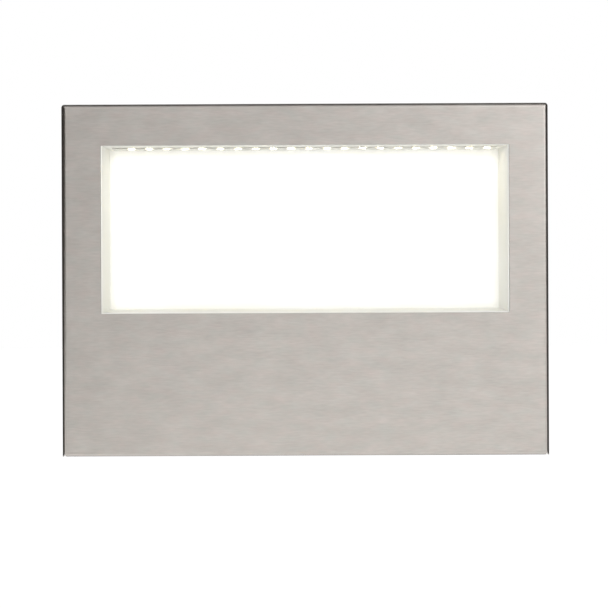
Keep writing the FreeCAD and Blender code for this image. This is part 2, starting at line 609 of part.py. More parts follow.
def make_cover():
    """Folded stainless tray with a window, closed at the top corners and open below."""
    body = new_body("front_cover")
    side, sheet_edge = COVER_SIDE, below(COVER_SIDE, "Sizes.cover_sheet")
    pad(body, "cover_tray", "Y", FRONT, RIM, block(minus(side), side, COVER_BOTTOM, COVER_TOP))
    top = value(COVER_TOP)
    round_edges(
        body, "top_corners", "Sizes.top_corner_round",
        lambda e: runs_along(e, "Y") and near(e.BoundBox.ZMax, top),
    )
    front = value(FRONT)
    round_edges(
        body, "folded_edges", above("Sizes.inner_bend", "Sizes.cover_sheet"),
        lambda e: lies_at(e, "Y", front),
    )
    inner_top = below(COVER_TOP, "Sizes.cover_sheet")
    pocket(
        body, "tray_inside", "Y", COVER_BACK, RIM,
        block(minus(sheet_edge), sheet_edge, COVER_FLOOR, inner_top),
    )
    back, mid_sheet = value(COVER_BACK), value(half(above(side, sheet_edge)))
    round_edges(
        body, "inner_bends", "Sizes.inner_bend",
        lambda e: lies_at(e, "Y", back) and e.BoundBox.XMax < mid_sheet,
    )
    pocket(
        body, "window", "Y", FRONT, COVER_BACK,
        block(minus(WINDOW_SIDE), WINDOW_SIDE, WINDOW_BOTTOM, WINDOW_TOP),
    )
    seams = []
    for sign in ("-1", "1"):
        middle = f"({sign} * {below(side, 'Sizes.seam_inset')})"
        mouth = half("Sizes.seam_wide")
        corners = (
            (below(middle, mouth), COVER_BOTTOM),
            (above(middle, mouth), COVER_BOTTOM),
            (middle, above(COVER_BOTTOM, "Sizes.seam_tall")),
        )
        seams.append(("outline", corners))
    pocket(body, "corner_seams", "Y", FRONT, RIM, *seams)
    screw_hole = above("Sizes.cover_screw_radius", "Sizes.hole_gap")
    pocket(
        body, "screw_holes", "Z", COVER_BOTTOM, COVER_FLOOR,
        disc(COVER_SCREW_ACROSS, COVER_SCREW_LINE, screw_hole),
        disc(minus(COVER_SCREW_ACROSS), COVER_SCREW_LINE, screw_hole),
    )
    slots = []
    for sign in ("-1", "1"):
        middle = f"({sign} * Sizes.drain_spacing / 2)"
        slots.append(
            block(
                below(middle, half("Sizes.drain_wide")), above(middle, half("Sizes.drain_wide")),
                below(COVER_SCREW_LINE, half("Sizes.drain_deep")),
                above(COVER_SCREW_LINE, half("Sizes.drain_deep")),
            )
        )
    pocket(body, "drain_slots", "Z", COVER_BOTTOM, COVER_FLOOR, *slots)


def make_cover_nuts():
    """Two clinch nuts pressed into the bottom flange."""
    body = new_body("cover_nuts")
    places = [(COVER_SCREW_ACROSS, COVER_SCREW_LINE), (minus(COVER_SCREW_ACROSS), COVER_SCREW_LINE)]
    pad(body, "nut_rings", "Z", COVER_FLOOR, NUT_TOP, *discs(places, "Sizes.nut_radius"))
    bore = above("Sizes.cover_screw_radius", "Sizes.thread_gap")
    pocket(body, "nut_threads", "Z", COVER_FLOOR, NUT_TOP, *discs(places, bore))


def make_cover_screw(label, across):
    """A grub screw with a hexagon socket, whose plain tip locks the cover to the chassis."""
    body = new_body(label)
    bottom = above(COVER_BOTTOM, "Sizes.cover_screw_sink")
    shoulder = below(TIP_TOP, "Sizes.dog_long")
    pad(body, f"{label}_thread", "Z", bottom, shoulder,
        disc(across, COVER_SCREW_LINE, "Sizes.cover_screw_radius"))
    pad(body, f"{label}_tip", "Z", shoulder, TIP_TOP,
        disc(across, COVER_SCREW_LINE, "Sizes.dog_radius"))
    pocket(body, f"{label}_socket", "Z", bottom, above(bottom, "Sizes.socket_deep"),
           hexagon(across, COVER_SCREW_LINE, "Sizes.hex_key"))


# ---------------------------------------------------------------- chassis

def make_chassis():
    """Folded steel plate that carries the recess liner and all the electrical parts."""
    body = new_body("chassis")
    side = CHASSIS_SIDE
    pad(body, "chassis_tray", "Y", CHASSIS_FRONT, PLATE_BACK,
        block(minus(side), side, CHASSIS_BOTTOM, CHASSIS_TOP))
    back = value(PLATE_BACK)
    round_edges(body, "chassis_bends", above("Sizes.chassis_bend", "Sizes.chassis_sheet"),
                lambda e: lies_at(e, "Y", back))
    inner = below(side, "Sizes.chassis_sheet")
    pocket(body, "chassis_inside", "Y", CHASSIS_FRONT, PLATE_FRONT,
           block(minus(inner), inner, above(CHASSIS_BOTTOM, "Sizes.chassis_sheet"),
                 below(CHASSIS_TOP, "Sizes.chassis_sheet")))
    reliefs = []
    for x0, x1 in ((minus(side), above(minus(side), "Sizes.chassis_relief")),
                   (below(side, "Sizes.chassis_relief"), side)):
        reliefs.append(block(x0, x1, CHASSIS_BOTTOM, above(CHASSIS_BOTTOM, "Sizes.chassis_relief")))
        reliefs.append(block(x0, x1, below(CHASSIS_TOP, "Sizes.chassis_relief"), CHASSIS_TOP))
    pocket(body, "corner_reliefs", "Y", CHASSIS_FRONT, PLATE_BACK, *reliefs)
    opening = above(LINER_SIDE, "Sizes.liner_fit")
    pocket(body, "liner_window", "Y", PLATE_FRONT, PLATE_BACK,
           block(minus(opening), opening, below(LINER_BOTTOM, "Sizes.liner_fit"),
                 above(LINER_TOP, "Sizes.liner_fit")))
    edge = value(opening)
    round_edges(body, "window_corners", above("Sizes.liner_round", "Sizes.liner_fit"),
                lambda e: runs_along(e, "Y") and near(abs(e.BoundBox.XMax), edge))
    pocket(
        body, "chassis_holes", "Y", PLATE_FRONT, PLATE_BACK,
        *discs(CHASSIS_SCREWS, above("Sizes.chassis_screw_radius", "Sizes.hole_gap")),
        *discs(RIVETS, above("Sizes.rivet_radius", "Sizes.thread_gap")),
        *discs(DRIVER_SCREWS, above("Sizes.driver_screw_radius", "Sizes.thread_gap")),
        *discs(BLOCK_SCREWS + CLAMP_SCREWS, above("Sizes.block_screw_radius", "Sizes.thread_gap")),
        *discs([EARTH_SCREW], above("Sizes.earth_screw_radius", "Sizes.thread_gap")),
    )


def make_chassis_gasket():
    """Foam gasket between the chassis and the wall box, with a pad round each screw."""
    body = new_body("chassis_gasket")
    side = below(BOX_FLANGE_SIDE, "Sizes.gasket_setback")
    top = below(BOX_FLANGE_TOP, "Sizes.gasket_setback")
    pad(body, "gasket_sheet", "Y", PLATE_BACK, BOX_FRONT, block(minus(side), side, minus(top), top))
    inner = above(TUB_INNER, "Sizes.gasket_setback")
    ceiling = above(TUB_CEILING, "Sizes.gasket_setback")
    pocket(body, "gasket_inside", "Y", PLATE_BACK, BOX_FRONT,
           block(minus(inner), inner, minus(ceiling), ceiling))
    pad(body, "gasket_pads", "Y", PLATE_BACK, BOX_FRONT,
        *discs(CHASSIS_SCREWS, "Sizes.corner_pad_radius"))
    pocket(body, "gasket_holes", "Y", PLATE_BACK, BOX_FRONT,
           *discs(CHASSIS_SCREWS, above("Sizes.chassis_screw_radius", "Sizes.hole_gap")))


def make_pan_screws(label, places, seat, facing, head_radius, radius, long):
    """Pan-head screws along Y; facing is -1 where the heads face the front, 1 where the back."""
    body = new_body(label)
    head_end = above(seat, f"{facing} * Sizes.head_tall")
    shank_end = above(seat, f"{-facing} * {long}")
    slot_start = below(head_end, f"{facing} * Sizes.slot_deep")
    if facing < 0:
        heads, shanks, slots = (head_end, seat), (seat, shank_end), (head_end, slot_start)
    else:
        heads, shanks, slots = (seat, head_end), (shank_end, seat), (slot_start, head_end)
    pad(body, f"{label}_heads", "Y", *heads, *discs(places, head_radius))
    pad(body, f"{label}_shanks", "Y", *shanks, *discs(places, radius))
    rim = value(head_end)
    round_edges(body, f"{label}_crowns", half("Sizes.head_tall"), lambda e: lies_at(e, "Y", rim))
    reach = f"({head_radius} * Sizes.slot_share)"
    pocket(body, f"{label}_slots", "Y", *slots,
           *[cross(x, z, reach, "Sizes.slot_broad") for x, z in places])


def to_chassis_front(seat):
    """Shank from a seat behind the chassis to just past its front face."""
    return above(below(seat, PLATE_FRONT), "Sizes.screw_through")


def make_chassis_screws():
    """Four screws that hold the chassis to the wall box."""
    make_pan_screws("chassis_screws", CHASSIS_SCREWS, PLATE_FRONT, -1,
                    "Sizes.chassis_head_radius", "Sizes.chassis_screw_radius",
                    "Sizes.chassis_screw_long")


# ---------------------------------------------------------------- recess and its lamp

def make_liner():
    """White moulded recess with a flange, a slot in its ceiling and bosses on its back."""
    body = new_body("recess_liner")
    side = LINER_SIDE
    pad(body, "liner_shell", "Y", LINER_FRONT, LINER_BACK,
        block(minus(side), side, LINER_BOTTOM, LINER_TOP))
    round_edges(body, "liner_edges", "Sizes.liner_round", lambda e: runs_along(e, "Y"))
    back = value(LINER_BACK)
    round_edges(body, "liner_back_edges", half("Sizes.liner_round"),
                lambda e: lies_at(e, "Y", back))
    flange = above(side, "Sizes.liner_flange")
    pad(body, "liner_flange", "Y", LINER_FLANGE_FRONT, LINER_SEAT,
        block(minus(flange), flange, below(LINER_BOTTOM, "Sizes.liner_flange"),
              above(LINER_TOP, "Sizes.liner_flange")))
    pocket(body, "recess", "Y", LINER_FRONT, RECESS_BACK,
           block(minus(LINER_INNER), LINER_INNER, LEDGE, CEILING))
    pocket(body, "flange_notches", "Y", LINER_FLANGE_FRONT, LINER_SEAT,
           *discs(TOP_SCREWS, above("Sizes.chassis_head_radius", "Sizes.notch_gap")))
    pocket(body, "rivet_holes", "Y", LINER_FLANGE_FRONT, LINER_SEAT,
           *discs(RIVETS, above("Sizes.rivet_radius", "Sizes.thread_gap")))
    slot_end = above(BOARD_END, "Sizes.board_fit")
    slot_half = above(half("Sizes.board_broad"), "Sizes.board_fit")
    pocket(body, "board_slot", "Z", CEILING, LINER_TOP,
           block(minus(slot_end), slot_end, below("Sizes.led_line", slot_half),
                 above("Sizes.led_line", slot_half)))
    pad(body, "carrier_bosses", "Y", LINER_BACK, CARRIER_SEAT_BACK,
        *discs(BOSSES, "Sizes.boss_radius"))
    pocket(body, "boss_holes", "Y", LINER_BACK, CARRIER_SEAT_BACK,
           *discs(BOSSES, above("Sizes.carrier_screw_radius", "Sizes.thread_gap")))


def make_liner_gasket():
    """Flat gasket between the liner's flange and the chassis."""
    body = new_body("liner_gasket")
    outer = below(above(LINER_SIDE, "Sizes.liner_flange"), "Sizes.gasket_setback")
    low = above(below(LINER_BOTTOM, "Sizes.liner_flange"), "Sizes.gasket_setback")
    high = below(above(LINER_TOP, "Sizes.liner_flange"), "Sizes.gasket_setback")
    pad(body, "liner_gasket_sheet", "Y", LINER_SEAT, PLATE_FRONT,
        block(minus(outer), outer, low, high))
    inner = above(LINER_SIDE, "Sizes.liner_fit")
    pocket(body, "liner_gasket_inside", "Y", LINER_SEAT, PLATE_FRONT,
           block(minus(inner), inner, below(LINER_BOTTOM, "Sizes.liner_fit"),
                 above(LINER_TOP, "Sizes.liner_fit")))
    edge = value(inner)
    round_edges(body, "liner_gasket_corners", above("Sizes.liner_round", "Sizes.liner_fit"),
                lambda e: runs_along(e, "Y") and near(abs(e.BoundBox.XMax), edge))
    pocket(body, "liner_gasket_notches", "Y", LINER_SEAT, PLATE_FRONT,
           *discs(TOP_SCREWS, above("Sizes.chassis_head_radius", "Sizes.notch_gap")))
    pocket(body, "liner_gasket_holes", "Y", LINER_SEAT, PLATE_FRONT,
           *discs(RIVETS, above("Sizes.rivet_radius", "Sizes.thread_gap")))


def make_rivets():
    """Blind rivets through the liner's flange, its gasket and the chassis."""
    body = new_body("liner_rivets")
    pad(body, "rivet_shanks", "Y", LINER_FLANGE_FRONT, PLATE_BACK,
        *discs(RIVETS, "Sizes.rivet_radius"))
    head_front = below(LINER_FLANGE_FRONT, "Sizes.rivet_head_tall")
    pad(body, "rivet_heads", "Y", head_front, LINER_FLANGE_FRONT,
        *discs(RIVETS, "Sizes.rivet_head_radius"))
    tail_end = above(PLATE_BACK, "Sizes.rivet_tail_long")
    pad(body, "rivet_tails", "Y", PLATE_BACK, tail_end, *discs(RIVETS, "Sizes.rivet_tail_radius"))
    front = value(head_front)
    round_edges(body, "rivet_crowns", half("Sizes.rivet_head_tall"),
                lambda e: lies_at(e, "Y", front))


def board_span(setback):
    """The board's rectangle seen from above, drawn in by a setback."""
    end = below(BOARD_END, setback)
    reach = below(half("Sizes.board_broad"), setback)
    return block(minus(end), end, below("Sizes.led_line", reach), above("Sizes.led_line", reach))


def make_led_board():
    """Aluminium-backed circuit board that closes the slot in the ceiling."""
    body = new_body("led_board")
    pad(body, "board_sheet", "Z", BOARD_UNDERSIDE, BOARD_TOP, board_span("0"))


def first_package_block():
    """The first package of the row, at its left end, seen from above."""
    across, reach = half("Sizes.led_long"), half("Sizes.led_broad")
    return block(below(LED_FIRST, across), above(LED_FIRST, across),
                 below("Sizes.led_line", reach), above("Sizes.led_line", reach))


def repeat_along_row(body, name, feature):
    """Repeat a feature at every place of the row of diodes."""
    pattern = body.newObject("PartDesign::LinearPattern", name)
    pattern.Originals = [feature]
    pattern.Direction = (origin_feature(body, "X_Axis"), [""])
    pattern.setExpression("Length", f"Sizes.led_pitch * {LED_STEPS}")
    pattern.setExpression("Occurrences", above(LED_STEPS, "1"))
    body.Tip = pattern
    doc.recompute()


def make_led_packages():
    """The row of diodes under the board."""
    body = new_body("led_packages")
    low = below(BOARD_UNDERSIDE, "Sizes.led_tall")
    first = pad(body, "first_package", "Z", low, BOARD_UNDERSIDE, first_package_block())
    repeat_along_row(body, "package_row", first)


def make_potting():
    """Clear resin over the board's underside, cast round the diodes."""
    body = new_body("led_potting")
    low = below(BOARD_UNDERSIDE, "Sizes.potting_thick")
    pad(body, "resin_strip", "Z", low, BOARD_UNDERSIDE, board_span("Sizes.potting_setback"))
    socket_low = below(BOARD_UNDERSIDE, "Sizes.led_tall")
    first = pocket(body, "first_socket", "Z", socket_low, BOARD_UNDERSIDE,
                   first_package_block())
    repeat_along_row(body, "socket_row", first)


def make_tape():
    """Thermal tape between the board and the aluminium angle."""
    body = new_body("thermal_tape")
    reach = half("Sizes.board_broad")
    left = above(minus(BOARD_END), "Sizes.carrier_open_end")
    pad(body, "tape_strip", "Z", BOARD_TOP, CARRIER_SEAT,
        block(left, BOARD_END, below("Sizes.led_line", reach), above("Sizes.led_line", reach)))


def make_carrier():
    """Aluminium angle that holds the board and carries its heat to the back of the liner."""
    body = new_body("led_carrier")
    left = above(minus(BOARD_END), "Sizes.carrier_open_end")
    corners = (
        ("Sizes.carrier_front", CARRIER_SEAT),
        (CARRIER_SEAT_BACK, CARRIER_SEAT),
        (CARRIER_SEAT_BACK, CARRIER_BOTTOM),
        (CARRIER_BACK, CARRIER_BOTTOM),
        (CARRIER_BACK, CARRIER_TOP),
        ("Sizes.carrier_front", CARRIER_TOP),
    )
    pad(body, "angle", "X", left, BOARD_END, ("outline", corners))
    back, top = value(CARRIER_BACK), value(CARRIER_TOP)
    round_edges(body, "angle_bend", "Sizes.carrier_sheet",
                lambda e: lies_at(e, "Y", back) and lies_at(e, "Z", top))
    pocket(body, "angle_holes", "Y", CARRIER_SEAT_BACK, CARRIER_BACK,
           *discs(BOSSES, above("Sizes.carrier_screw_radius", "Sizes.thread_gap")))


def make_carrier_screws():
    """Three screws through the angle into the liner's bosses."""
    make_pan_screws("led_carrier_screws", BOSSES, CARRIER_BACK, 1,
                    "Sizes.carrier_head_radius", "Sizes.carrier_screw_radius",
                    "Sizes.carrier_screw_long")


# ---------------------------------------------------------------- driver

def driver_block(drawn_in):
    """The driver's rectangle on the chassis, drawn in by a distance."""
    return block(above(DRIVER_LEFT, drawn_in), below(DRIVER_RIGHT, drawn_in),
                 above(DRIVER_BOTTOM, drawn_in), below(DRIVER_TOP, drawn_in))


def make_driver_base():
    """Moulded tray with two ears and posts for the board."""
    body = new_body("driver_base")
    pad(body, "driver_tray", "Y", PLATE_BACK, LID_SEAT, driver_block("0"))
    pocket(body, "driver_inside", "Y", DRIVER_FLOOR, LID_SEAT, driver_block("Sizes.driver_wall"))
    reach = half("Sizes.driver_ear_tall")
    low, high = below(DRIVER_HEIGHT, reach), above(DRIVER_HEIGHT, reach)
    pad(body, "driver_ears", "Y", PLATE_BACK, DRIVER_FLOOR,
        block(below(DRIVER_LEFT, "Sizes.driver_ear_long"), DRIVER_LEFT, low, high),
        block(DRIVER_RIGHT, above(DRIVER_RIGHT, "Sizes.driver_ear_long"), low, high))
    pocket(body, "ear_holes", "Y", PLATE_BACK, DRIVER_FLOOR,
           *discs(DRIVER_SCREWS, above("Sizes.driver_screw_radius", "Sizes.hole_gap")))
    posts = [
        (x, z)
        for x in (above(DRIVER_LEFT, "Sizes.post_inset"), below(DRIVER_RIGHT, "Sizes.post_inset"))
        for z in (above(DRIVER_BOTTOM, "Sizes.post_inset"), below(DRIVER_TOP, "Sizes.post_inset"))
    ]
    pad(body, "board_posts", "Y", DRIVER_FLOOR, DRIVER_BOARD_SEAT,
        *discs(posts, "Sizes.post_radius"))
    led_hole = above("Sizes.led_lead_radius", "Sizes.lead_hole_gap")
    pocket(body, "led_lead_holes", "X", DRIVER_LEFT, above(DRIVER_LEFT, "Sizes.driver_wall"),
           *[disc(LEAD_EXIT, height, led_hole) for height in LED_LEAD_HEIGHTS])
    mains_hole = above("Sizes.mains_lead_radius", "Sizes.lead_hole_gap")
    pocket(body, "mains_lead_holes", "X", below(DRIVER_RIGHT, "Sizes.driver_wall"), DRIVER_RIGHT,
           disc(LEAD_EXIT, LIVE_WAY, mains_hole), disc(LEAD_EXIT, NEUTRAL_WAY, mains_hole))


def make_driver_lid():
    """Flat lid with a lip inside the tray."""
    body = new_body("driver_lid")
    pad(body, "lid_plate", "Y", LID_SEAT, DRIVER_BACK, driver_block("0"))
    lip = above("Sizes.driver_wall", "Sizes.lid_fit")
    start = below(LID_SEAT, "Sizes.lid_lip")
    pad(body, "lid_lip", "Y", start, LID_SEAT, driver_block(lip))
    pocket(body, "lid_inside", "Y", start, LID_SEAT, driver_block(above(lip, "Sizes.lid_lip_wall")))
    back = value(DRIVER_BACK)
    round_edges(body, "lid_edges", half("Sizes.driver_wall"), lambda e: lies_at(e, "Y", back))


def make_driver_board():
    body = new_body("driver_board")
    pad(body, "driver_board_sheet", "Y", DRIVER_BOARD_SEAT, DRIVER_BOARD_FACE,
        driver_block(above("Sizes.driver_wall", "Sizes.driver_board_fit")))


def make_transformer():
    """Winding with a ferrite core round it, on the driver's board."""
    body = new_body("driver_transformer")
    reach, height = half("Sizes.transformer_tall"), DRIVER_HEIGHT
    middle = half(above(TRANSFORMER_LEFT, TRANSFORMER_RIGHT))
    end = above(DRIVER_BOARD_FACE, "Sizes.transformer_deep")
    winding_end = below(end, "Sizes.core_proud")
    pad(body, "winding", "Y", DRIVER_BOARD_FACE, winding_end,
        block(TRANSFORMER_LEFT, TRANSFORMER_RIGHT, below(height, reach), above(height, reach)))
    core_half = half("Sizes.core_across")
    core_reach = above(reach, "Sizes.core_proud")
    pad(body, "core", "Y", DRIVER_BOARD_FACE, end,
        block(below(middle, core_half), above(middle, core_half),
              below(height, core_reach), above(height, core_reach)))


def make_capacitors():
    """Three electrolytic capacitors standing on the driver's board."""
    body = new_body("driver_capacitors")
    end = above(DRIVER_BOARD_FACE, "Sizes.capacitor_long")
    pad(body, "cans", "Y", DRIVER_BOARD_FACE, end, *discs(CAPACITORS, "Sizes.capacitor_radius"))
    top = value(end)
    round_edges(body, "can_rims", "Sizes.capacitor_round", lambda e: lies_at(e, "Y", top))


def make_choke():
    """Ring choke on the driver's board."""
    body = new_body("driver_choke")
    end = above(DRIVER_BOARD_FACE, "Sizes.choke_deep")
    pad(body, "choke_ring", "Y", DRIVER_BOARD_FACE, end, disc(*CHOKE, "Sizes.choke_radius"))
    pocket(body, "choke_hole", "Y", DRIVER_BOARD_FACE, end, disc(*CHOKE, "Sizes.choke_bore"))
    top = value(end)
    round_edges(body, "choke_rims", "Sizes.choke_round", lambda e: lies_at(e, "Y", top))


def make_driver_screws():
    """Two screws through the driver's ears into the chassis."""
    make_pan_screws("driver_screws", DRIVER_SCREWS, DRIVER_FLOOR, 1,
                    "Sizes.driver_head_radius", "Sizes.driver_screw_radius",
                    to_chassis_front(DRIVER_FLOOR))


# ---------------------------------------------------------------- terminals, clamp and earth

def make_terminal_block():
    """Three-way block with a barrel's bore and two screw wells in each way."""
    body = new_body("terminal_block")
    pad(body, "terminal_body", "Y", PLATE_BACK, TERMINAL_BACK,
        block(TERMINAL_LEFT, TERMINAL_RIGHT, TERMINAL_BOTTOM, TERMINAL_TOP))
    pocket(body, "barrel_bores", "X", TERMINAL_LEFT, TERMINAL_RIGHT,
           *[disc(BARREL_LINE, way, "Sizes.barrel_radius") for way in WAYS])
    wells = above("Sizes.wire_screw_radius", "Sizes.hole_gap")
    pocket(body, "screw_wells", "Y", BARREL_LINE, TERMINAL_BACK, *discs(WIRE_SCREWS, wells))
    pocket(body, "block_screw_holes", "Y", PLATE_BACK, TERMINAL_BACK,
           *discs(BLOCK_SCREWS, above("Sizes.block_screw_radius", "Sizes.hole_gap")))
    pocket(body, "block_head_wells", "Y", BLOCK_HEAD_SEAT, TERMINAL_BACK,
           *discs(BLOCK_SCREWS, above("Sizes.block_head_radius", "Sizes.hole_gap")))
    back = value(TERMINAL_BACK)
    left, right = value(TERMINAL_LEFT), value(TERMINAL_RIGHT)
    round_edges(body, "block_edges", half("Sizes.wire_screw_radius"),
                lambda e: lies_at(e, "Y", back) and (lies_at(e, "X", left) or lies_at(e, "X", right)))


def make_barrels():
    """Brass barrels of the terminal block."""
    body = new_body("terminal_barrels")
    left = above(TERMINAL_LEFT, "Sizes.barrel_sink")
    right = below(TERMINAL_RIGHT, "Sizes.barrel_sink")
    pad(body, "barrels", "X", left, right,
        *[disc(BARREL_LINE, way, "Sizes.barrel_radius") for way in WAYS])
    pocket(body, "wire_holes", "X", left, right,
           *[disc(BARREL_LINE, way, "Sizes.barrel_bore") for way in WAYS])
    top = above(BARREL_LINE, "Sizes.barrel_radius")
    pocket(body, "barrel_threads", "Y", BARREL_LINE, top,
           *discs(WIRE_SCREWS, above("Sizes.wire_screw_radius", "Sizes.thread_gap")))


def make_wire_screws():
    """Slotted screws that press the wires down."""
    body = new_body("terminal_screws")
    end = below(TERMINAL_BACK, "Sizes.wire_screw_sink")
    start = above(BARREL_LINE, "Sizes.mains_lead_radius", "Sizes.thread_gap")
    pad(body, "wire_screws", "Y", start, end, *discs(WIRE_SCREWS, "Sizes.wire_screw_radius"))
    slot, reach = half(half("Sizes.wire_screw_radius")), "(2 * Sizes.wire_screw_radius)"
    pocket(body, "wire_screw_slots", "Y", below(end, half("Sizes.wire_screw_radius")), end,
           *[block(below(x, reach), above(x, reach), below(z, slot), above(z, slot))
             for x, z in WIRE_SCREWS])


def make_block_screws():
    """Two screws between the ways that hold the block to the chassis."""
    make_pan_screws("terminal_fixing_screws", BLOCK_SCREWS, BLOCK_HEAD_SEAT, 1,
                    "Sizes.block_head_radius", "Sizes.block_screw_radius",
                    to_chassis_front(BLOCK_HEAD_SEAT))


def make_clamp():
    """Strap that holds the cord beside the terminal block."""
    body = new_body("cord_clamp")
    middle = TERMINAL_HEIGHT
    foot = above(PLATE_BACK, "Sizes.clamp_thick")
    arch = above(PLATE_BACK, "Sizes.clamp_arch")
    crown = above(arch, "Sizes.clamp_thick")
    channel = half("Sizes.clamp_channel")
    shoulder, span = CLAMP_SHOULDER, CLAMP_REACH
    corners = (
        (PLATE_BACK, below(middle, span)),
        (foot, below(middle, span)),
        (foot, below(middle, shoulder)),
        (crown, below(middle, shoulder)),
        (crown, above(middle, shoulder)),
        (foot, above(middle, shoulder)),
        (foot, above(middle, span)),
        (PLATE_BACK, above(middle, span)),
        (PLATE_BACK, above(middle, channel)),
        (arch, above(middle, channel)),
        (arch, below(middle, channel)),
        (PLATE_BACK, below(middle, channel)),
    )
    pad(body, "strap", "X", CLAMP_LEFT, CLAMP_RIGHT, ("outline", corners))
    outer, inner = value(crown), value(arch)
    round_edges(body, "strap_outside", above("Sizes.clamp_round", "Sizes.clamp_thick"),
                lambda e: runs_along(e, "X") and lies_at(e, "Y", outer))
    round_edges(body, "strap_inside", "Sizes.clamp_round",
                lambda e: runs_along(e, "X") and lies_at(e, "Y", inner))
    pocket(body, "strap_holes", "Y", PLATE_BACK, foot,
           *discs(CLAMP_SCREWS, above("Sizes.block_screw_radius", "Sizes.hole_gap")))


def make_clamp_screws():
    """Two screws in the feet of the strap."""
    seat = above(PLATE_BACK, "Sizes.clamp_thick")
    make_pan_screws("cord_clamp_screws", CLAMP_SCREWS, seat, 1, "Sizes.clamp_head_radius",
                    "Sizes.block_screw_radius", to_chassis_front(seat))


def make_earth_lug():
    """Ring terminal under the earth screw, crimped on the earth lead."""
    body = new_body("earth_lug")
    face = above(PLATE_BACK, "Sizes.lug_thick")
    pad(body, "lug_ring", "Y", PLATE_BACK, face, disc(*EARTH_SCREW, "Sizes.lug_radius"))
    pad(body, "lug_tail", "Y", PLATE_BACK, face,
        block(EARTH_ACROSS, CRIMP_START, below(EARTH_HEIGHT, "Sizes.crimp_radius"),
              above(EARTH_HEIGHT, "Sizes.crimp_radius")))
    pad(body, "lug_crimp", "X", CRIMP_START, CRIMP_END,
        disc(CRIMP_LINE, EARTH_HEIGHT, "Sizes.crimp_radius"))
    pocket(body, "lug_bore", "X", CRIMP_START, CRIMP_END,
           disc(CRIMP_LINE, EARTH_HEIGHT, "Sizes.mains_lead_radius"))
    pocket(body, "lug_hole", "Y", PLATE_BACK, face,
           disc(*EARTH_SCREW, above("Sizes.earth_screw_radius", "Sizes.hole_gap")))


def make_earth_screw():
    """Screw that holds the lug against the bare chassis."""
    seat = above(PLATE_BACK, "Sizes.lug_thick")
    make_pan_screws("earth_screw", [EARTH_SCREW], seat, 1, "Sizes.earth_head_radius",
                    "Sizes.earth_screw_radius", to_chassis_front(seat))


# ---------------------------------------------------------------- wall box

def make_wall_box():
    """Moulded tub let into the wall, with a flange, screw columns and fixing bosses."""
    body = new_body("wall_box")
    pad(body, "tub", "Y", BOX_FRONT, BOX_BACK,
        block(minus(TUB_SIDE), TUB_SIDE, minus(TUB_TOP), TUB_TOP))
    round_edges(body, "tub_edges", "Sizes.box_round", lambda e: runs_along(e, "Y"))
    back = value(BOX_BACK)
    round_edges(body, "tub_back_edges", half("Sizes.box_round"), lambda e: lies_at(e, "Y", back))
    pad(body, "tub_flange", "Y", BOX_FRONT, BOX_FLANGE_BACK,
        block(minus(BOX_FLANGE_SIDE), BOX_FLANGE_SIDE, minus(BOX_FLANGE_TOP), BOX_FLANGE_TOP))
    pocket(body, "tub_inside", "Y", BOX_FRONT, BOX_FLOOR,
           block(minus(TUB_INNER), TUB_INNER, TUB_FLOOR, TUB_CEILING))
    column_end = above(BOX_FRONT, "Sizes.column_deep")
    pad(body, "columns", "Y", BOX_FRONT, column_end, *discs(CHASSIS_SCREWS, "Sizes.column_radius"))
    hole_end = above(BOX_FRONT, "Sizes.chassis_screw_long")
    pocket(body, "column_holes", "Y", BOX_FRONT, hole_end,
           *discs(CHASSIS_SCREWS, "Sizes.insert_radius"))
    pad(body, "fixing_bosses", "Y", FIXING_SEAT, BOX_FLOOR,
        *discs(FIXINGS, "Sizes.fixing_boss_radius"))
    pocket(body, "fixing_holes", "Y", FIXING_SEAT, BOX_BACK,
           *discs(FIXINGS, "Sizes.fixing_hole_radius"))
    pocket(body, "entries", "Y", BOX_FLOOR, BOX_BACK,
           *discs([GLAND, PLUG], "Sizes.entry_radius"))


def make_wall_gasket():
    """Foam gasket behind the wall box's flange."""
    body = new_body("wall_gasket")
    side = below(BOX_FLANGE_SIDE, "Sizes.gasket_setback")
    top = below(BOX_FLANGE_TOP, "Sizes.gasket_setback")
    pad(body, "wall_gasket_sheet", "Y", BOX_FLANGE_BACK, "0",
        block(minus(side), side, minus(top), top))
    inner = above(TUB_SIDE, "Sizes.box_gasket_fit")
    ceiling = above(TUB_TOP, "Sizes.box_gasket_fit")
    pocket(body, "wall_gasket_inside", "Y", BOX_FLANGE_BACK, "0",
           block(minus(inner), inner, minus(ceiling), ceiling))


def make_rings(label, places, start, end, outer, inner):
    """Plain rings along Y, one at each place."""
    body = new_body(label)
    pad(body, f"{label}_blanks", "Y", start, end, *discs(places, outer))
    pocket(body, f"{label}_bores", "Y", start, end, *discs(places, inner))


def make_inserts():
    """Brass inserts moulded into the corner columns."""
    start = above(BOX_FRONT, "Sizes.insert_sink")
    make_rings("screw_inserts", CHASSIS_SCREWS, start, above(start, "Sizes.insert_long"),
               "Sizes.insert_radius", above("Sizes.chassis_screw_radius", "Sizes.thread_gap"))


def make_fixing_washers():
    """Sealing washers on the fixing bosses."""
    make_rings("fixing_washers", FIXINGS, below(FIXING_SEAT, "Sizes.washer_thick"), FIXING_SEAT,
               "Sizes.washer_radius", "Sizes.fixing_hole_radius")


GLAND_SEAT = below(BOX_FLOOR, "Sizes.gland_washer_thick")
GLAND_NECK_START = below(GLAND_SEAT, "Sizes.gland_hex_thick")
GLAND_NECK_END = below(GLAND_NECK_START, "Sizes.gland_neck_long")
GLAND_NUT_BACK = below(GLAND_NECK_START, "Sizes.gland_nut_gap")
GLAND_NUT_FRONT = below(GLAND_NUT_BACK, "Sizes.gland_nut_long")
GLAND_NUT_FLOOR = above(GLAND_NUT_FRONT, "Sizes.gland_nut_end")
SEAL_BACK = above(GLAND_NECK_END, "Sizes.seal_seat")
SEAL_SEAT_RADIUS = half(above("Sizes.gland_bore", "Sizes.gland_neck_radius"))


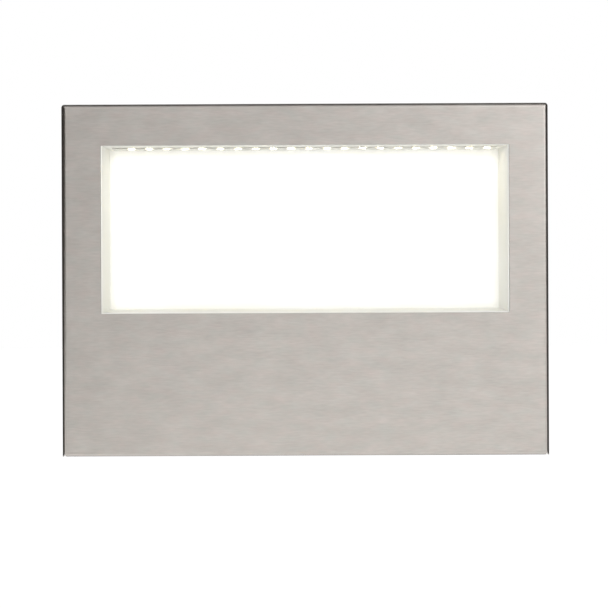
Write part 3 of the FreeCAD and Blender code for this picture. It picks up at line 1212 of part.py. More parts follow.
def make_gland_body():
    """Hexagon with a thread through the wall box and a hollow neck for the seal."""
    body = new_body("gland_body")
    thread = below("Sizes.entry_radius", "Sizes.entry_fit")
    pad(body, "gland_hexagon", "Y", GLAND_NECK_START, GLAND_SEAT,
        hexagon(*GLAND, "Sizes.gland_hex"))
    pad(body, "gland_thread", "Y", GLAND_SEAT, above(BOX_BACK, "Sizes.gland_tail"),
        disc(*GLAND, thread))
    pad(body, "gland_neck", "Y", GLAND_NECK_END, GLAND_NECK_START,
        disc(*GLAND, "Sizes.gland_neck_radius"))
    pocket(body, "gland_passage", "Y", GLAND_NECK_END, above(BOX_BACK, "Sizes.gland_tail"),
           disc(*GLAND, "Sizes.gland_bore"))
    pocket(body, "seal_seat", "Y", GLAND_NECK_END, SEAL_BACK, disc(*GLAND, SEAL_SEAT_RADIUS))


def make_gland_washer():
    """Sealing washer between the gland's body and the wall box."""
    make_rings("gland_washer", [GLAND], GLAND_SEAT, BOX_FLOOR,
               "Sizes.gland_washer_radius", "Sizes.entry_radius")


def make_seal():
    """Rubber sleeve that the dome nut squeezes on the cord."""
    make_rings("gland_seal", [GLAND], GLAND_NUT_FLOOR, SEAL_BACK,
               below(SEAL_SEAT_RADIUS, "Sizes.seal_wall_gap"), "Sizes.seal_bore")


def make_locknut():
    """Hexagon nut outside the wall box."""
    body = new_body("gland_locknut")
    thread = below("Sizes.entry_radius", "Sizes.entry_fit")
    end = above(BOX_BACK, "Sizes.locknut_thick")
    pad(body, "locknut_hexagon", "Y", BOX_BACK, end, hexagon(*GLAND, "Sizes.locknut_hex"))
    pocket(body, "locknut_thread", "Y", BOX_BACK, end,
           disc(*GLAND, above(thread, "Sizes.thread_gap")))


def make_gland_nut():
    """Dome nut that squeezes the seal on the cord."""
    body = new_body("gland_nut")
    pad(body, "dome_hexagon", "Y", GLAND_NUT_FRONT, GLAND_NUT_BACK,
        hexagon(*GLAND, "Sizes.gland_nut_hex"))
    pocket(body, "dome_thread", "Y", GLAND_NUT_FLOOR, GLAND_NUT_BACK,
           disc(*GLAND, above("Sizes.gland_neck_radius", "Sizes.thread_gap")))
    pocket(body, "dome_mouth", "Y", GLAND_NUT_FRONT, GLAND_NUT_FLOOR,
           disc(*GLAND, "Sizes.gland_mouth"))


def make_plug():
    """Snap-in plug in the spare cable entry."""
    body = new_body("blanking_plug")
    radius = below("Sizes.entry_radius", "Sizes.entry_fit")
    catch_end = below(BOX_FLOOR, "Sizes.entry_fit")
    catch_start = below(catch_end, "Sizes.plug_catch_long")
    head_end = above(BOX_BACK, "Sizes.plug_head_thick")
    pad(body, "plug_shank", "Y", catch_start, BOX_BACK, disc(*PLUG, radius))
    pad(body, "plug_head", "Y", BOX_BACK, head_end, disc(*PLUG, "Sizes.plug_head_radius"))
    pad(body, "plug_catch", "Y", catch_start, catch_end,
        disc(*PLUG, above("Sizes.entry_radius", "Sizes.plug_catch")))
    pocket(body, "plug_hollow", "Y", catch_start, BOX_BACK,
           disc(*PLUG, below(radius, "Sizes.plug_wall")))
    back = value(head_end)
    round_edges(body, "plug_rim", half("Sizes.plug_head_thick"), lambda e: lies_at(e, "Y", back))


# ---------------------------------------------------------------- leads

def bend_radius(before, corner, after):
    """As large as the two runs that meet at a corner allow."""
    into, out = corner - before, after - corner
    turn = into.getAngle(out)
    return value("Sizes.bend_share") * min(into.Length, out.Length) / math.tan(turn / 2)


def lead_path(points):
    """Straight runs through the points, joined by arcs that touch them."""
    edges = []
    here = points[0]
    radii = []
    for before, corner, after in zip(points, points[1:], points[2:]):
        radius = bend_radius(before, corner, after)
        into, out = (corner - before).normalize(), (after - corner).normalize()
        setback = radius * math.tan(into.getAngle(out) / 2)
        start, end = corner - into * setback, corner + out * setback
        middle_way = (out - into).normalize()
        centre = corner + middle_way * math.hypot(radius, setback)
        edges.append(Part.LineSegment(here, start).toShape())
        edges.append(Part.Arc(start, centre - middle_way * radius, end).toShape())
        here = end
        radii.append(round(radius, 2))
    edges.append(Part.LineSegment(here, points[-1]).toShape())
    return Part.Wire(edges), radii


def make_lead(label, radius_name, stations):
    """A round lead along its route; the stations are expressions."""
    points = [V(*(value(place) for place in station)) for station in stations]
    path, radii = lead_path(points)
    radius = value(radius_name)
    heading = (points[1] - points[0]).normalize()
    section = Part.Wire(Part.makeCircle(radius, points[0], heading))
    tube = path.makePipeShell([section], True, False)
    lead = doc.addObject("Part::Feature", label)
    lead.Label = label
    lead.Shape = tube
    lead.Placement = FreeCAD.Placement()
    nodes.append(lead)
    expected = math.pi * radius**2 * path.Length
    print(f"{label}: bends {radii} mm, length {path.Length:.1f} mm, "
          f"volume {tube.Volume:.1f} of {expected:.1f} mm3")


def make_mains_leads():
    """Live and neutral leads from the driver's board to the terminal block."""
    joint = below(DRIVER_RIGHT, "Sizes.lead_inset")
    landing = above(TERMINAL_LEFT, "Sizes.barrel_sink", "Sizes.lead_reach")
    outside = above(DRIVER_RIGHT, "Sizes.lead_ease")
    before_block = below(TERMINAL_LEFT, "Sizes.lead_ease")
    for label, way in (("lead_mains_live", LIVE_WAY), ("lead_mains_neutral", NEUTRAL_WAY)):
        make_lead(label, "Sizes.mains_lead_radius", (
            (joint, DRIVER_BOARD_FACE, way),
            (joint, LEAD_EXIT, way),
            (outside, LEAD_EXIT, way),
            (before_block, BARREL_LINE, way),
            (landing, BARREL_LINE, way),
        ))


def make_earth_lead():
    """Earth lead from its way of the terminal block into the crimp of the lug."""
    landing = above(TERMINAL_LEFT, "Sizes.barrel_sink", "Sizes.lead_reach")
    outside = above(CRIMP_END, "Sizes.crimp_ease")
    make_lead("lead_earth", "Sizes.mains_lead_radius", (
        (landing, BARREL_LINE, EARTH_WAY),
        (TERMINAL_LEFT, BARREL_LINE, EARTH_WAY),
        (outside, CRIMP_LINE, EARTH_HEIGHT),
        (CRIMP_START, CRIMP_LINE, EARTH_HEIGHT),
    ))


def make_led_leads():
    """Two leads from the driver, up behind the liner and over it to the diodes' board."""
    joint = above(DRIVER_LEFT, "Sizes.lead_inset")
    outside = below(DRIVER_LEFT, "Sizes.lead_ease")
    behind = above(LINER_BACK, "Sizes.led_lead_behind")
    foot = below(LINER_BOTTOM, "Sizes.led_lead_below")
    over = above(BOARD_TOP, "Sizes.led_lead_over")
    first = above(minus(BOARD_END), "Sizes.led_lead_landing")
    for label, height, upright in (
        ("lead_led_positive", LED_LEAD_HEIGHTS[0], first),
        ("lead_led_negative", LED_LEAD_HEIGHTS[1], above(first, "Sizes.led_lead_spacing")),
    ):
        make_lead(label, "Sizes.led_lead_radius", (
            (joint, DRIVER_BOARD_FACE, height),
            (joint, LEAD_EXIT, height),
            (outside, LEAD_EXIT, height),
            (upright, behind, foot),
            (upright, behind, over),
            (upright, "Sizes.led_line", over),
            (upright, "Sizes.led_line", BOARD_TOP),
        ))


# ---------------------------------------------------------------- the whole light

def check_and_write():
    """Stop on any failed object or empty cut, then write each sub-part's shape."""
    doc.recompute()
    for item in doc.Objects:
        if "Invalid" in item.State or "Error" in item.State:
            raise RuntimeError(f"{item.Name} failed: {item.State}")
        if item.TypeId == "PartDesign::Pocket" and item.BaseFeature is not None:
            if item.Shape.Volume > item.BaseFeature.Shape.Volume - 1e-3:
                raise RuntimeError(f"{item.Name} cuts nothing")
    os.makedirs("parts", exist_ok=True)
    for node in nodes:
        if node.Shape.isNull() or not node.Shape.isValid():
            raise RuntimeError(f"{node.Label} has no valid shape")
    for node in nodes:
        node.Shape.exportStep(f"parts/{node.Label}.step")
    print(f"{len(nodes)} sub-parts written")


def build():
    fill_sheet()
    make_cover()
    make_cover_nuts()
    make_cover_screw("cover_screw_left", minus(COVER_SCREW_ACROSS))
    make_cover_screw("cover_screw_right", COVER_SCREW_ACROSS)
    make_chassis()
    make_chassis_gasket()
    make_chassis_screws()
    make_liner()
    make_liner_gasket()
    make_rivets()
    make_led_board()
    make_led_packages()
    make_potting()
    make_tape()
    make_carrier()
    make_carrier_screws()
    make_driver_base()
    make_driver_lid()
    make_driver_board()
    make_transformer()
    make_capacitors()
    make_choke()
    make_driver_screws()
    make_terminal_block()
    make_barrels()
    make_wire_screws()
    make_block_screws()
    make_clamp()
    make_clamp_screws()
    make_earth_lug()
    make_earth_screw()
    make_mains_leads()
    make_earth_lead()
    make_led_leads()
    make_wall_box()
    make_wall_gasket()
    make_inserts()
    make_fixing_washers()
    make_gland_body()
    make_gland_washer()
    make_locknut()
    make_seal()
    make_gland_nut()
    make_plug()
    check_and_write()


build()
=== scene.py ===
import json
import math

import bmesh
import bpy
from bpy.props import FloatProperty, FloatVectorProperty, IntProperty, PointerProperty
from mathutils import Matrix, Vector


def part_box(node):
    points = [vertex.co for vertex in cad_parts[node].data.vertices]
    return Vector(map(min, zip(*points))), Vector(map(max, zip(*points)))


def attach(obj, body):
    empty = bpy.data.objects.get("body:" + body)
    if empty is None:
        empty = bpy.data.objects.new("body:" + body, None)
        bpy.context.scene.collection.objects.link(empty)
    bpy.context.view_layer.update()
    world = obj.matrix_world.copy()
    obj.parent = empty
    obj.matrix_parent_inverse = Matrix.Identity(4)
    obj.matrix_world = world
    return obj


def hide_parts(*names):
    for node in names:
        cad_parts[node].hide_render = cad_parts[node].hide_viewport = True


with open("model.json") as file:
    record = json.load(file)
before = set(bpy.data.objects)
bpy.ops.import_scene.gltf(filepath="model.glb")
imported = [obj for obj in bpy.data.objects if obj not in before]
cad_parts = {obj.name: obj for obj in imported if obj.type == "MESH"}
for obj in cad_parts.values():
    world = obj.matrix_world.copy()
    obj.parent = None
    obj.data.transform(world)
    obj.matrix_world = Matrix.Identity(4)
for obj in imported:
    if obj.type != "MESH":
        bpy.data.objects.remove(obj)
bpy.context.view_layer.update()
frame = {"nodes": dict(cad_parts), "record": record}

bl_info = {
    "name": "Recessed step light",
    "version": (1, 0, 0),
    "blender": (4, 5, 0),
    "location": "3D View > Sidebar > Step light",
    "description": "Dresses a recessed step light: finishes, fine edges, lit diodes and a studio",
    "category": "Object",
}

MM = 0.001
RECORD = frame["record"]


# ---------------------------------------------------------------- colour and node helpers

def linear(hex_text):
    """An sRGB hex colour as linear values."""
    values = []
    for start in (0, 2, 4):
        part = int(hex_text[start:start + 2], 16) / 255
        values.append(part / 12.92 if part <= 0.04045 else ((part + 0.055) / 1.055) ** 2.4)
    return tuple(values)


def per_mm(millimetres):
    """Pattern scale that makes one feature this long."""
    return 1 / (millimetres * MM)


def add_node(tree, kind, sockets=None, **settings):
    """Add a node with its settings; each socket takes a value, a colour or another's output."""
    made = tree.nodes.new(kind)
    for name, setting in settings.items():
        setattr(made, name, setting)
    for name, value in (sockets or {}).items():
        socket = made.inputs[name]
        if isinstance(value, bpy.types.NodeSocket):
            tree.links.new(value, socket)
        elif socket.type == "RGBA":
            socket.default_value = (*value[:3], 1)
        else:
            socket.default_value = value
    return made


def new_finish(name, sockets, patterns):
    """A material with plain surface sockets and those that patterns(tree, place) gives."""
    material = bpy.data.materials.new(name)
    material.use_nodes = True
    tree = material.node_tree
    tree.nodes.clear()
    place = add_node(tree, "ShaderNodeTexCoord").outputs["Object"]
    shader = add_node(tree, "ShaderNodeBsdfPrincipled", {**sockets, **patterns(tree, place)})
    add_node(tree, "ShaderNodeOutputMaterial", {"Surface": shader.outputs["BSDF"]})
    return material


def clouded(tree, place, size_mm, light, dark):
    """Colour that drifts between two tones in patches of this size."""
    clouds = add_node(tree, "ShaderNodeTexNoise",
                      {"Vector": place, "Scale": per_mm(size_mm), "Detail": 3.0})
    evened = add_node(tree, "ShaderNodeMapRange",
                      {"Value": clouds.outputs["Fac"], "From Min": 0.3, "From Max": 0.7})
    tone = add_node(tree, "ShaderNodeMix",
                    {"Factor": evened.outputs["Result"], "A": light, "B": dark},
                    data_type="RGBA")
    return tone.outputs["Result"]


def gritty(tree, place, size_mm, depth_mm):
    """Relief of fine grit of this size and depth."""
    grit = add_node(tree, "ShaderNodeTexNoise",
                    {"Vector": place, "Scale": per_mm(size_mm), "Detail": 3.0})
    relief = add_node(tree, "ShaderNodeBump",
                      {"Height": grit.outputs["Fac"], "Distance": depth_mm * MM,
                       "Strength": 0.6})
    return relief.outputs["Normal"]


def worn(tree, place, size_mm, smooth, rough):
    """Roughness that drifts between two levels in patches of this size."""
    clouds = add_node(tree, "ShaderNodeTexNoise",
                      {"Vector": place, "Scale": per_mm(size_mm), "Detail": 4.0})
    level = add_node(tree, "ShaderNodeMapRange",
                     {"Value": clouds.outputs["Fac"], "From Min": 0.3, "From Max": 0.7,
                      "To Min": smooth, "To Max": rough})
    return level.outputs["Result"]


# ---------------------------------------------------------------- sizes and colours

class StepLightCover(bpy.types.PropertyGroup):
    """The folded cover plate."""
    steel: FloatVectorProperty(
        name="Steel", description="Colour of the brushed sheet", subtype="COLOR", size=3,
        min=0, max=1, default=linear("B6AEA9"))
    steel_tint: FloatVectorProperty(
        name="Steel, second tone", description="Faint green-grey cast between the warmer patches",
        subtype="COLOR", size=3, min=0, max=1, default=linear("B3B0AB"))
    grain_long: FloatProperty(
        name="Grain length", description="Length of the brushed lines", unit="LENGTH",
        default=4.5 * MM)
    grain_wide: FloatProperty(
        name="Grain width", description="Width of the brushed lines", unit="LENGTH",
        default=0.6 * MM)
    edge: FloatProperty(
        name="Edge", description="Burr-free rounding of the cut edges", unit="LENGTH",
        default=0.32 * MM)
    sheet: FloatProperty(
        name="Sheet", description="Widest cut edge of the sheet", unit="LENGTH",
        default=1.6 * MM)


class StepLightRecess(bpy.types.PropertyGroup):
    """The white moulded recess."""
    white: FloatVectorProperty(
        name="White", description="Colour of the moulded recess", subtype="COLOR", size=3,
        min=0, max=1, default=linear("F1F1EE"))
    edge: FloatProperty(
        name="Edge", description="Rounding of the moulded edges", unit="LENGTH",
        default=0.25 * MM)


class StepLightLamp(bpy.types.PropertyGroup):
    """The row of diodes."""
    glow: FloatProperty(
        name="Glow", description="Radiance of each lit diode", min=0, default=46.0)
    glow_colour: FloatVectorProperty(
        name="Glow colour", description="Neutral white with a trace of warmth", subtype="COLOR",
        size=3, min=0, max=1, default=linear("FFFBF0"))
    package_long: FloatProperty(
        name="Diode length", description="Package along the row", unit="LENGTH",
        default=3.5 * MM)
    package_wall: FloatProperty(
        name="Diode wall", description="White rim round the lit face", unit="LENGTH",
        default=0.55 * MM)
    face_depth: FloatProperty(
        name="Lit face depth", description="Lit face inside the rim", unit="LENGTH",
        default=0.1 * MM)
    pitch: FloatProperty(
        name="Diode spacing", description="Distance between neighbouring diodes", unit="LENGTH",
        default=8.05 * MM)


class StepLightParts(bpy.types.PropertyGroup):
    """What stands behind the cover and in the wall."""
    moulded_edge: FloatProperty(
        name="Moulded edge", description="Rounding of the moulded cases and blocks",
        unit="LENGTH", default=0.35 * MM)
    turned_edge: FloatProperty(
        name="Turned edge", description="Rounding of screws, nuts and rivets", unit="LENGTH",
        default=0.12 * MM)
    gland_neck: FloatProperty(
        name="Gland neck", description="Radius of the cable gland's neck", unit="LENGTH",
        default=7 * MM)
    gland_neck_long: FloatProperty(
        name="Gland neck length", description="Neck up to the hexagon", unit="LENGTH",
        default=8 * MM)
    gland_hexagon: FloatProperty(
        name="Gland hexagon", description="Thickness of the hexagon", unit="LENGTH",
        default=4 * MM)
    gland_bore: FloatProperty(
        name="Gland bore", description="Radius of the passage for the cord", unit="LENGTH",
        default=5 * MM)
    seal_seat: FloatProperty(
        name="Seal seat", description="Radius of the seat for the rubber seal", unit="LENGTH",
        default=6 * MM)
    seal_seat_deep: FloatProperty(
        name="Seal seat depth", description="Depth of that seat", unit="LENGTH",
        default=7 * MM)
    gland_thread: FloatProperty(
        name="Gland thread radius", description="Radius over the thread", unit="LENGTH",
        default=8 * MM)
    thread_pitch: FloatProperty(
        name="Gland thread", description="Pitch of the cable gland's thread", unit="LENGTH",
        default=1.5 * MM)
    thread_deep: FloatProperty(
        name="Gland thread depth", description="Depth of that thread", unit="LENGTH",
        default=0.7 * MM)
    thread_sides: IntProperty(
        name="Gland thread facets", description="Facets round that thread", min=12, default=72)


class StepLightStudio(bpy.types.PropertyGroup):
    """Camera, lights, cards and floor."""
    camera_place: FloatVectorProperty(
        name="Camera", description="Camera's place in front of the wall", subtype="XYZ",
        unit="LENGTH", size=3, default=(-0.0066, -0.7625, 0.0205))
    camera_roll: FloatProperty(
        name="Roll", description="Tilt of the camera about its own axis", subtype="ANGLE",
        default=math.radians(-0.25))
    lens: FloatProperty(name="Lens", description="Focal length in millimetres", default=100.73)
    shift: FloatVectorProperty(
        name="Shift", description="Shift of the picture's middle", size=2,
        default=(0.0229, -0.1163))
    key: FloatProperty(name="Key light", description="Power of the key light in watts",
                       min=0, default=1.2)
    sheen: FloatProperty(name="Sheen light", description="Power of the metal's light in watts",
                         min=0, default=7.4)
    fill: FloatProperty(name="Fill light", description="Power of the fill light in watts",
                        min=0, default=18.0)
    sky: FloatProperty(name="Surroundings", description="Brightness of the room's soft light",
                       min=0, default=0.34)
    floor_drop: FloatProperty(
        name="Floor", description="Floor below the middle of the plate", unit="LENGTH",
        default=0.30)
    dark_card: FloatVectorProperty(
        name="Dark cards", description="Cards that draw the plate's folded sides",
        subtype="COLOR", size=3, min=0, max=1, default=linear("4C4A47"))
    grey_card: FloatVectorProperty(
        name="Grey card", description="Card that draws the plate's folded top",
        subtype="COLOR", size=3, min=0, max=1, default=linear("6E6C6A"))


GROUPS = {
    "step_light_cover": StepLightCover,
    "step_light_recess": StepLightRecess,
    "step_light_lamp": StepLightLamp,
    "step_light_parts": StepLightParts,
    "step_light_studio": StepLightStudio,
}


# ---------------------------------------------------------------- finishes

def brushed_stainless(settings):
    """Stainless sheet, brushed with a fine belt: even satin, with hairlines that run along the
    plate and on round the folds, and a faint warm and green-grey cast in patches. Real hairlines
    are a few hundredths of a millimetre wide; they are drawn as wide as they show here."""
    along, across = settings.grain_long / MM, settings.grain_wide / MM

    def patterns(tree, place):
        facing = add_node(tree, "ShaderNodeTexCoord").outputs["Normal"]
        sides = add_node(tree, "ShaderNodeVectorMath",
                         {0: facing, 1: (1, 0, 0)}, operation="DOT_PRODUCT").outputs["Value"]
        sideways = add_node(tree, "ShaderNodeMath", {0: sides}, operation="ABSOLUTE")
        on_side = add_node(tree, "ShaderNodeMath", {0: sideways.outputs[0], 1: 0.6},
                           operation="GREATER_THAN")
        front = add_node(tree, "ShaderNodeMapping",
                         {"Vector": place,
                          "Scale": (per_mm(along), per_mm(across), per_mm(across))})
        side = add_node(tree, "ShaderNodeMapping",
                        {"Vector": place,
                         "Scale": (per_mm(across), per_mm(along), per_mm(across))})
        run = add_node(tree, "ShaderNodeMix",
                       {"Factor": on_side.outputs[0], "A": front.outputs["Vector"],
                        "B": side.outputs["Vector"]}, data_type="VECTOR")
        hairline = add_node(tree, "ShaderNodeTexNoise",
                            {"Vector": run.outputs["Result"], "Scale": 1.0, "Detail": 3.0})
        broad = add_node(tree, "ShaderNodeMapping",
                         {"Vector": place, "Scale": (per_mm(13), per_mm(7), per_mm(6))})
        smudge = add_node(tree, "ShaderNodeTexNoise",
                          {"Vector": broad.outputs["Vector"], "Scale": 1.0, "Detail": 2.0})
        # That place counts in patches and not in metres, so 600 mm here is 0.6 of a patch.
        cast = clouded(tree, broad.outputs["Vector"], 600, settings.steel,
                       settings.steel_tint)
        line = add_node(tree, "ShaderNodeMapRange",
                        {"Value": hairline.outputs["Fac"], "From Min": 0.25, "From Max": 0.75,
                         "To Min": 0.93, "To Max": 1.07})
        haze = add_node(tree, "ShaderNodeMapRange",
                        {"Value": smudge.outputs["Fac"], "From Min": 0.25, "From Max": 0.75,
                         "To Min": 0.94, "To Max": 1.06})
        shade = add_node(tree, "ShaderNodeMath",
                         {0: line.outputs["Result"], 1: haze.outputs["Result"]},
                         operation="MULTIPLY")
        colour = add_node(tree, "ShaderNodeVectorMath",
                          {0: cast, "Scale": shade.outputs[0]}, operation="SCALE")
        rough = add_node(tree, "ShaderNodeMapRange",
                         {"Value": hairline.outputs["Fac"], "From Min": 0.3, "From Max": 0.7,
                          "To Min": 0.3, "To Max": 0.4})
        relief = add_node(tree, "ShaderNodeBump",
                          {"Height": hairline.outputs["Fac"], "Distance": 0.01 * MM,
                           "Strength": 0.5})
        # Light spreads across the hairlines. The slant keeps this direction clear of every face.
        spread = add_node(tree, "ShaderNodeCombineXYZ", {"X": 0.03, "Y": 0.3, "Z": 1.0})
        return {"Base Color": colour.outputs["Vector"], "Roughness": rough.outputs["Result"],
                "Normal": relief.outputs["Normal"], "Tangent": spread.outputs["Vector"]}

    return new_finish("stainless_sheet_brushed", {"Metallic": 1.0, "Anisotropic": 0.4}, patterns)


def laser_cut_edge():
    """Laser-cut edge of the sheet: dull, oxide-grey and finely striated."""
    def patterns(tree, place):
        return {"Base Color": clouded(tree, place, 0.5, linear("7D7A76"), linear("6B6865")),
                "Normal": gritty(tree, place, 0.3, 0.02)}

    return new_finish("stainless_edge_laser_cut", {"Metallic": 0.4, "Roughness": 0.75}, patterns)


def zinc_plated_steel():
    """Steel sheet with a passivated zinc coat: satin, bluish, cloudy in patches."""
    def patterns(tree, place):
        return {"Base Color": clouded(tree, place, 9, linear("B4B8BC"), linear("C9C9C4")),
                "Roughness": worn(tree, place, 7, 0.34, 0.48),
                "Normal": gritty(tree, place, 0.5, 0.01)}

    return new_finish("steel_zinc_plated", {"Metallic": 1.0}, patterns)


def turned_metal(name, light, dark, smooth):
    """Turned, then tumbled metal: bright, with dulled patches and fine turning marks, which are
    drawn a third of a millimetre wide so that they show."""
    def patterns(tree, place):
        return {"Base Color": clouded(tree, place, 2.5, linear(light), linear(dark)),
                "Roughness": worn(tree, place, 2.5, smooth, smooth + 0.14),
                "Normal": gritty(tree, place, 0.35, 0.006)}

    return new_finish(name, {"Metallic": 1.0}, patterns)


def extruded_aluminium():
    """Mill-finish extruded aluminium: pale, with die lines along its length."""
    def patterns(tree, place):
        lengthwise = add_node(tree, "ShaderNodeMapping",
                              {"Vector": place, "Scale": (0.01, 1, 1)}).outputs["Vector"]
        return {"Base Color": clouded(tree, lengthwise, 0.6, linear("D2D2D1"), linear("BEBFC0")),
                "Roughness": worn(tree, lengthwise, 0.6, 0.32, 0.46),
                "Normal": gritty(tree, lengthwise, 0.6, 0.01)}

    return new_finish("aluminium_extruded", {"Metallic": 1.0}, patterns)


def moulded_plastic(name, light, dark, smooth, grit_mm, depth_mm, ior):
    """Injection-moulded plastic from a spark-eroded tool: an even tone with faint flow clouds,
    fine grit and a soft sheen."""
    def patterns(tree, place):
        return {"Base Color": clouded(tree, place, 40, light, dark),
                "Roughness": worn(tree, place, grit_mm, smooth, smooth + 0.12),
                "Normal": gritty(tree, place, grit_mm, depth_mm)}

    return new_finish(name, {"IOR": ior}, patterns)


def black_nylon():
    """Glass-filled nylon, moulded: dark, dull, its fibres just roughening the skin."""
    return moulded_plastic("glass_filled_nylon_moulded", linear("3B3C3E"), linear("343537"),
                           0.48, 0.5, 0.03, 1.53)


def closed_cell_foam():
    """Die-cut closed-cell foam rubber: matt black, open pores of about half a millimetre."""
    def patterns(tree, place):
        cells = add_node(tree, "ShaderNodeTexVoronoi",
                         {"Vector": place, "Scale": per_mm(0.55)}).outputs["Distance"]
        tone = add_node(tree, "ShaderNodeMix",
                        {"Factor": cells, "A": linear("19191A"), "B": linear("3C3C3D")},
                        data_type="RGBA")
        pores = add_node(tree, "ShaderNodeBump",
                         {"Height": cells, "Distance": 0.15 * MM, "Strength": 0.7})
        return {"Base Color": tone.outputs["Result"], "Normal": pores.outputs["Normal"]}

    return new_finish("rubber_foam_die_cut", {"Roughness": 0.9, "IOR": 1.45}, patterns)


def filled_silicone_tape():
    """Ceramic-filled silicone tape: dull blue-grey, its woven carrier just showing through."""
    def patterns(tree, place):
        # A wave's scale counts bands per 2 pi; this one gives a thread every 0.8 mm.
        weave = add_node(tree, "ShaderNodeTexWave",
                         {"Vector": place, "Scale": per_mm(0.8) * 2 * math.pi / 20,
                          "Distortion": 0.6}).outputs["Fac"]
        tone = add_node(tree, "ShaderNodeMix",
                        {"Factor": weave, "A": linear("A9B0B8"), "B": linear("97A0AA")},
                        data_type="RGBA")
        threads = add_node(tree, "ShaderNodeBump",
                           {"Height": weave, "Distance": 0.03 * MM, "Strength": 0.5})
        return {"Base Color": tone.outputs["Result"], "Normal": threads.outputs["Normal"]}

    return new_finish("silicone_tape_filled", {"Roughness": 0.7}, patterns)


def solder_resist(name, light, dark, track):
    """Circuit board under solder resist: glossy lacquer, with 0.8 mm copper tracks showing as
    faint relief and a lighter tone."""
    def patterns(tree, place):
        across = add_node(tree, "ShaderNodeMapping",
                          {"Vector": place, "Scale": (per_mm(1), per_mm(1), per_mm(1)),
                           "Rotation": (math.radians(90), 0, 0)})
        tracks = add_node(tree, "ShaderNodeTexBrick",
                          {"Vector": across.outputs["Vector"], "Scale": 1.0,
                           "Mortar Size": 0.4, "Brick Width": 9.0, "Row Height": 3.2})
        lacquer = clouded(tree, place, 6, linear(light), linear(dark))
        tone = add_node(tree, "ShaderNodeMix",
                        {"Factor": tracks.outputs["Fac"], "A": lacquer, "B": linear(track)},
                        data_type="RGBA")
        relief = add_node(tree, "ShaderNodeBump",
                          {"Height": tracks.outputs["Fac"], "Distance": 0.035 * MM,
                           "Strength": 0.5})
        return {"Base Color": tone.outputs["Result"], "Normal": relief.outputs["Normal"]}

    return new_finish(name, {"Roughness": 0.32, "IOR": 1.55}, patterns)


def casting_resin():
    """Clear casting resin: a glossy skin over the diodes, a touch milky, with small ripples."""
    def patterns(tree, place):
        return {"Base Color": clouded(tree, place, 4, linear("E9E7E0"), linear("DAD9D3")),
                "Normal": gritty(tree, place, 4, 0.08)}

    return new_finish("polyurethane_resin_cast",
                      {"Roughness": 0.14, "IOR": 1.5, "Alpha": 0.3}, patterns)


def lit_phosphor(settings):
    """Lit phosphor gel of a diode: very bright, faintly grainy."""
    def patterns(tree, place):
        return {"Base Color": clouded(tree, place, 0.25, linear("F6E3A6"), linear("F2DA92")),
                "Emission Color": clouded(tree, place, 0.25, settings.glow_colour,
                                          linear("FFF9E8"))}

    return new_finish("phosphor_gel_lit", {"Roughness": 0.3, "IOR": 1.41,
                                           "Emission Strength": settings.glow}, patterns)


def moulded_rubber(name, light, dark):
    """Compression-moulded rubber: satin black with a dusty bloom."""
    def patterns(tree, place):
        return {"Base Color": clouded(tree, place, 3, linear(light), linear(dark)),
                "Roughness": worn(tree, place, 3, 0.55, 0.72),
                "Normal": gritty(tree, place, 0.6, 0.02)}

    return new_finish(name, {"IOR": 1.52}, patterns)


def taped_winding():
    """Polyester tape wound over a coil, with the ground ferrite core round its middle: glossy
    yellow turns beside dull dark grey."""
    low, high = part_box("driver_transformer")
    middle, core_half = (low.x + high.x) / 2, 3.5 * MM

    def patterns(tree, place):
        offset = add_node(tree, "ShaderNodeVectorMath", {0: place, 1: (middle, 0, 0)},
                          operation="SUBTRACT")
        along = add_node(tree, "ShaderNodeVectorMath",
                         {0: offset.outputs["Vector"], 1: (1, 0, 0)}, operation="DOT_PRODUCT")
        away = add_node(tree, "ShaderNodeMath", {0: along.outputs["Value"]},
                        operation="ABSOLUTE")
        core = add_node(tree, "ShaderNodeMath", {0: away.outputs[0], 1: core_half + 0.01 * MM},
                        operation="LESS_THAN").outputs[0]
        upright = add_node(tree, "ShaderNodeMapping",
                           {"Vector": place, "Scale": (1, 0.1, 0.1)}).outputs["Vector"]
        tape = clouded(tree, upright, 0.7, linear("D9BE4A"), linear("C9A935"))
        ferrite = clouded(tree, place, 0.7, linear("3A3B3D"), linear("2E2F31"))
        tone = add_node(tree, "ShaderNodeMix", {"Factor": core, "A": tape, "B": ferrite},
                        data_type="RGBA")
        rough = add_node(tree, "ShaderNodeMapRange",
                         {"Value": core, "To Min": 0.3, "To Max": 0.75})
        return {"Base Color": tone.outputs["Result"], "Roughness": rough.outputs["Result"],
                "Normal": gritty(tree, upright, 0.7, 0.02)}

    return new_finish("polyester_tape_and_ferrite", {}, patterns)


def sleeved_can():
    """Aluminium can in a shrunk polyester sleeve: dark glossy sides and a bare pressed end."""
    def patterns(tree, place):
        facing = add_node(tree, "ShaderNodeTexCoord").outputs["Normal"]
        backward = add_node(tree, "ShaderNodeVectorMath", {0: facing, 1: (0, 1, 0)},
                            operation="DOT_PRODUCT")
        bare = add_node(tree, "ShaderNodeMath", {0: backward.outputs["Value"], 1: 0.9},
                        operation="GREATER_THAN").outputs[0]
        sleeve = clouded(tree, place, 2, linear("1C2238"), linear("151A2C"))
        tone = add_node(tree, "ShaderNodeMix",
                        {"Factor": bare, "A": sleeve, "B": linear("C6C6C6")}, data_type="RGBA")
        return {"Base Color": tone.outputs["Result"], "Metallic": bare,
                "Normal": gritty(tree, place, 2, 0.01)}

    return new_finish("polyester_sleeve_shrunk", {"Roughness": 0.3}, patterns)


